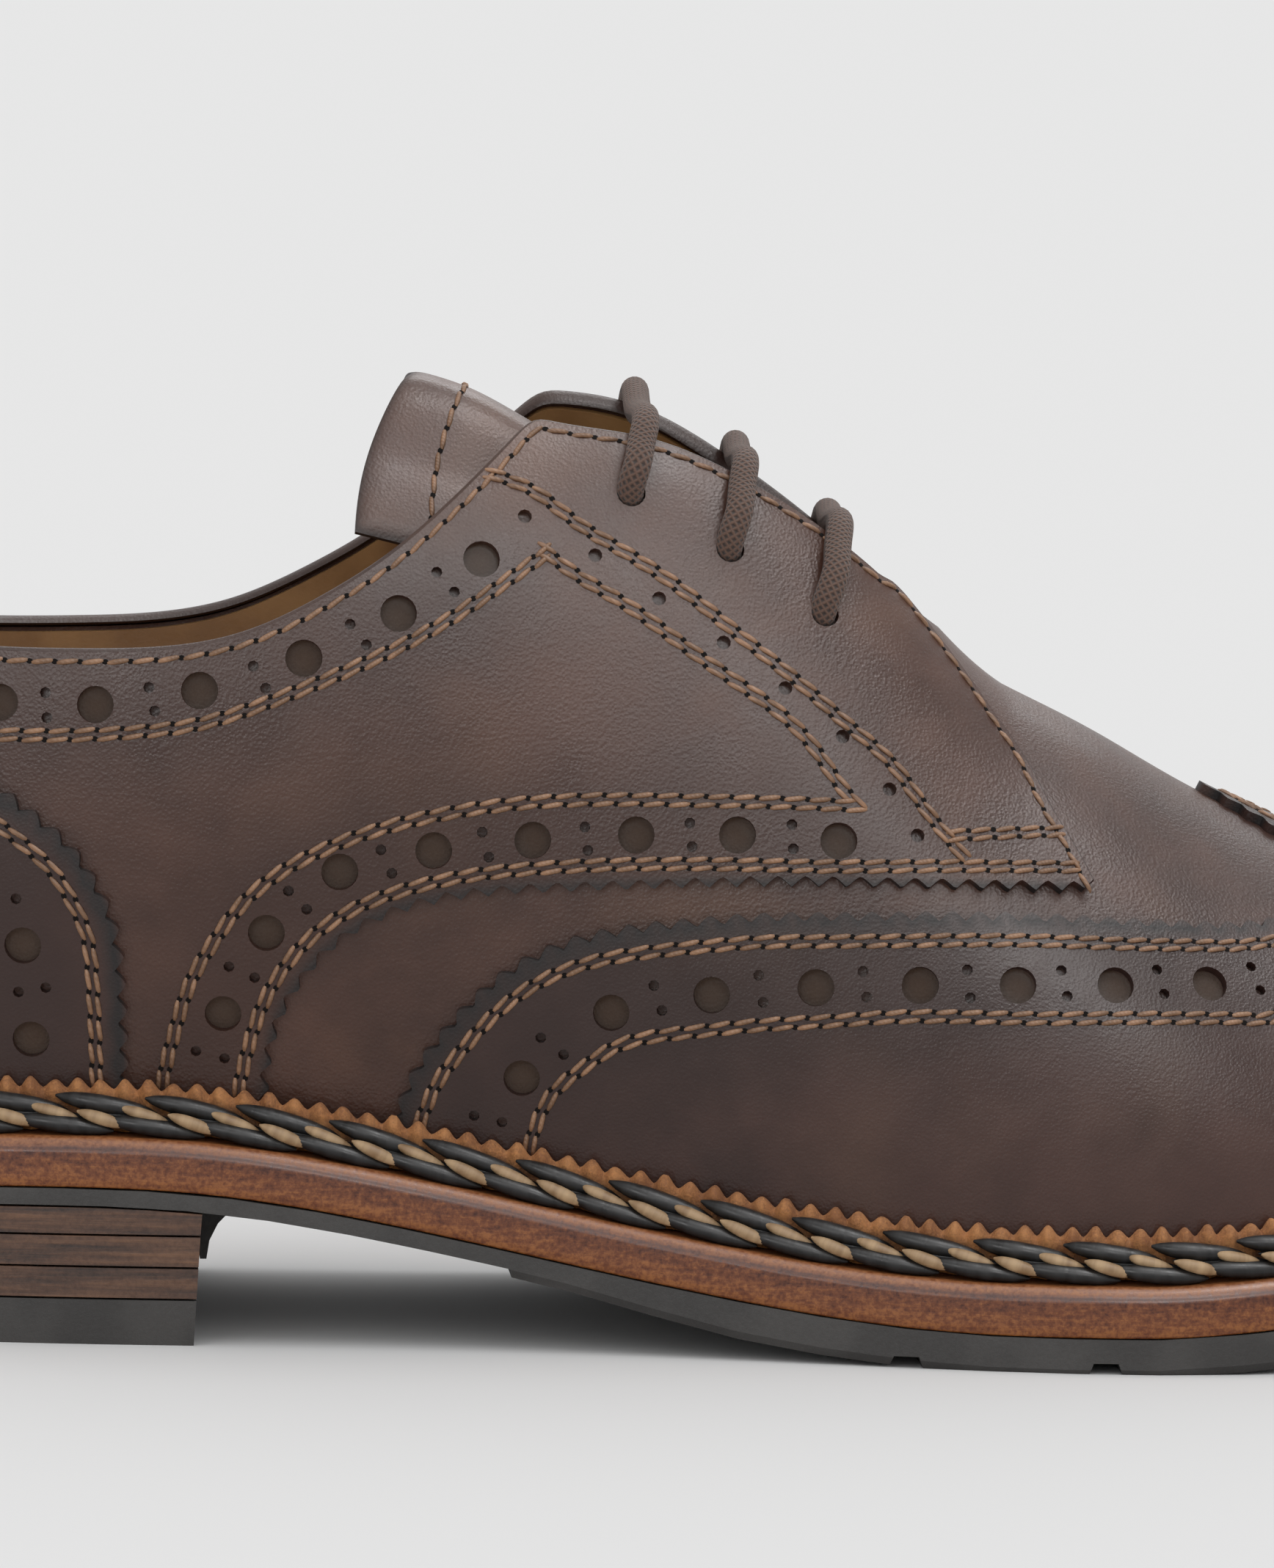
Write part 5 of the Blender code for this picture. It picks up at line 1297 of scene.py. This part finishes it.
def strands(sizes, blend, phase):
    # spindles one after another: each rises from under the one before, runs along and dives again
    height, thick, wide, length, slope, dive = np.array(sizes) * mm
    count, rings, sides = round(loopRun[-1] / braid["period"]), braid["rings"], braid["sides"]
    starts = (np.arange(count) + phase) / count * loopRun[-1]
    u = np.linspace(-0.5, 0.5, rings)
    run = starts[:, None] + u * length
    full = np.clip(1 - np.abs(2 * u) ** 2.2, 0.04, 1) ** 0.6
    high = height + slope * u + 0 * run
    out = dive * (1 - np.abs(2 * u) ** 2) * (1 - 0.35 * u) + 0 * run
    centre, outward = weltPlace(run, high, welt["thick"] + braid["off"] + out, blend + 0 * run)
    along = unit(np.gradient(centre, axis=1))
    up = unit(np.cross(outward, along))
    up = up * np.sign(up[..., 2:])
    outward = unit(np.cross(along, up))
    angle = np.linspace(0, 2 * np.pi, sides, endpoint=False)
    ring = (np.cos(angle)[:, None] * outward[:, :, None] * wide
            + np.sin(angle)[:, None] * up[:, :, None] * thick)
    points = centre[:, :, None] + ring * full[:, None, None]
    first = np.arange(count) * rings * sides
    faces = (gridFaces(rings, sides, aroundColumns=True)[None] + first[:, None, None]).reshape(-1, 4).tolist()
    for a in first.tolist():
        end = a + rings * sides
        faces += [list(range(a, a + sides)), list(range(end - 1, end - 1 - sides, -1))]
    uv = np.stack(np.broadcast_arrays(run[:, :, None] + 0 * angle, angle * wide), -1).reshape(-1, 2)
    return points.reshape(-1, 3), faces, {}, uv


for shade, finish, replaced in (("Black", "blackStrand", ("welt_braid",)), ("Cream", "creamStrand", ())):
    group = [strands(*row) for row in braid[shade]]
    points, faces, _ = joined([made[:3] for made in group])
    turnOut(makePiece("braid" + shade, points, faces, finish, "braid_cord", replaced, None,
                      np.concatenate([made[3] for made in group]), sharp=80))
print("welt and braid made")

# the midsole's edge from below: millimetres in from the outline, millimetres over its top, and its arris mark
midsoleSection = (
    (0.35, -6.9, 0), (0.08, -6.6, 0.02), (0, -5.6, 0.08), (0, -4.6, 0.15), (0, -3.4, 0.24), (0.02, -2.2, 0.33),
    (0.06, -1.75, 0.42), (0.28, -1.55, 0.5), (0.36, -1.3, 0.62), (0.75, -0.7, 0.8), (1.15, -0.3, 1),
    (1.7, -0.03, 1), (3.0, 0, 1))


def buildMidsole(count=361):
    # loops of the sole's outline, each at an inset and a height, capped below and above
    points, uvs, marks, faces = [], [], [], []
    sides = planSides(np.linspace(0, 1, count))
    for inset, height, mark in midsoleSection:
        for place, inward in sides:
            p = place + inward * (inset * mm)
            z = midsoleTop(p[:, 0]) + height * mm
            points.append(np.concatenate([p + np.array(last["shift"][:2]), z[:, None]], -1))
            uvs.append(np.stack([runOf(place), z], -1))
            marks.append(np.full(count, float(mark)))
    for level in range(len(midsoleSection) - 1):
        for side in (0, 1):
            a = (level * 2 + side) * count + np.arange(count - 1)
            faces.append(np.stack([a, a + 1, a + 1 + 2 * count, a + 2 * count], -1))
        a = level * 2 * count + count - 1
        faces.append(np.array([[a, a + count, a + 3 * count, a + 2 * count]]))
    for level in (0, len(midsoleSection) - 1):
        a = level * 2 * count + np.arange(count - 1)
        faces.append(np.stack([a, a + 1, a + 1 + count, a + count], -1))
    turnOut(makePiece("midsoleEdge", np.concatenate(points), np.concatenate(faces), "midsole",
                      "midsole_leather", ("midsole",), {"arris": np.concatenate(marks)}, np.concatenate(uvs),
                      0.01 * mm, 50))


buildMidsole()
print("midsole made")

# carried-over solids
for node, finish, slot in (("outsole", "rubber", "sole_rubber"), ("heel_top_piece", "rubber", "sole_rubber"),
                           ("heel_lift_1", "heel", "heel_leather"), ("heel_lift_2", "heel", "heel_leather"),
                           ("heel_lift_3", "heel", "heel_leather"), ("insole", "lining", "lining_leather")):
    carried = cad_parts[node]
    carried.data.materials.clear()
    carried.data.materials.append(finishes[finish])

# lace: three bars, each out of one eyelet, over the throat and into the other
lace = {
    "radius": 1.95 * mm, "arch": 0.5 * mm, "forward": (0.006, 0.002), "steps": (0.0, 0.0, 0.0, 0.33, 0.66, 1.0),
    "bend": 0.09, "offsets": (-3.2, -0.6, 1.7, 3.5, 3.2, 2.9),
}
for number in range(3):
    legs = []
    for side in (0, 1):
        spot = eyelets[side][number]
        edge = np.interp(spot[0], form.s, edges[side])
        edge = 2 - edge if side else edge
        steps = np.array(lace["steps"])
        sw = np.stack([np.full(6, spot[0]), spot[1] + (edge - spot[1]) * steps], -1)
        sw[2, 1] = spot[1] + (edge - spot[1]) * lace["bend"]
        sw[:, 0] += lace["forward"][side] * steps
        offsets = np.array(lace["offsets"]) * mm
        legs.append((form.place(sw, offsets), form.normal(sw)))
    crown = (legs[0][0][-1] + legs[1][0][-1]) / 2 + [0, 0, lace["arch"]]
    knots = np.concatenate([legs[0][0], crown[None], legs[1][0][::-1]])
    path = smoothLine(knots, 0.35 * mm)
    outward = np.concatenate([legs[0][1], [[0, 0, 1.0]], legs[1][1][::-1]])
    t = np.linspace(0, runOf(knots)[-1], len(path))
    outward = unit(np.stack([np.interp(t, runOf(knots), outward[:, k]) for k in range(3)], -1))
    points, faces, uv = tube(path, lace["radius"], lace["radius"], outward, 20)
    makePiece(f"laceBar{number + 1}", points, faces, "lace", "lace_cord", (f"lace_bar_{number + 1}",), None, uv,
              sharp=80)
print("lace laid")

# floor, light and camera
studio = {
    "floor": (0.80, 0.80, 0.80), "sky": 0.755,
    # place, aim, power, and the sun's spread or the glow's width
    "overhead": ((0, -0.2, 3), (0, 0.05, 0), 0.755, math.radians(50)),
    "leftGlow": ((-0.52, -1.0, 0.50), (-0.03, 0, 0.06), 5.0, 0.36),
    "frontGlow": ((0.22, -0.95, 0.80), (0.02, 0, 0.06), 5.5, 0.45),
    "topGlow": ((0.42, -0.25, 1.15), (0.04, 0, 0.06), 10, 0.60),
    "backGlow": ((0.3, 1.0, 0.9), (0.0, 0, 0.06), 4, 0.7),
}
bpy.ops.mesh.primitive_plane_add(size=80)
floor = bpy.context.object
floor.name = "floor"
paper = Finish("paleFloor", Specular_IOR_Level=0.0)
tone = paper.mix(paper.noise(2.0), studio["floor"], tuple(c * 1.001 for c in studio["floor"]))
floor.data.materials.append(paper.dress(tone, paper.noise(1.0) * 0.02 + 0.9))

scene = bpy.context.scene
world = bpy.data.worlds.new("studio")
world.use_nodes = True
world.node_tree.nodes["Background"].inputs[0].default_value = (1, 1, 1, 1)
world.node_tree.nodes["Background"].inputs[1].default_value = studio["sky"]
scene.world = world
scene.view_settings.view_transform = "Standard"


def lamp(name, place, aim, power, size):
    sun = name == "overhead"
    data = bpy.data.lights.new(name, "SUN" if sun else "AREA")
    data.energy = power
    if sun:
        data.angle = size
    else:
        data.shape, data.size, data.size_y = "RECTANGLE", size, size * 0.6
    made = bpy.data.objects.new(name, data)
    scene.collection.objects.link(made)
    made.visible_diffuse = sun  # a glow shows in gloss alone
    made.location = place
    made.rotation_euler = (Vector(aim) - Vector(place)).to_track_quat("-Z", "Y").to_euler()


for name in ("overhead", "leftGlow", "frontGlow", "topGlow", "backGlow"):
    lamp(name, *studio[name])

place, aheadAxis, rightAxis, upAxis = cameraAxes()
data = bpy.data.cameras.new("camera")
data.sensor_width, data.lens = 36, 36 * cameraPlace["focal"] / cameraPlace["height"]
data.clip_start, data.clip_end = 0.05, 200
camera = bpy.data.objects.new("camera", data)
scene.collection.objects.link(camera)
turn = Matrix(np.stack([rightAxis, upAxis, -aheadAxis], 1).tolist()).to_4x4()
camera.matrix_world = Matrix.Translation(place.tolist()) @ turn
scene.camera = camera

print("studio set")
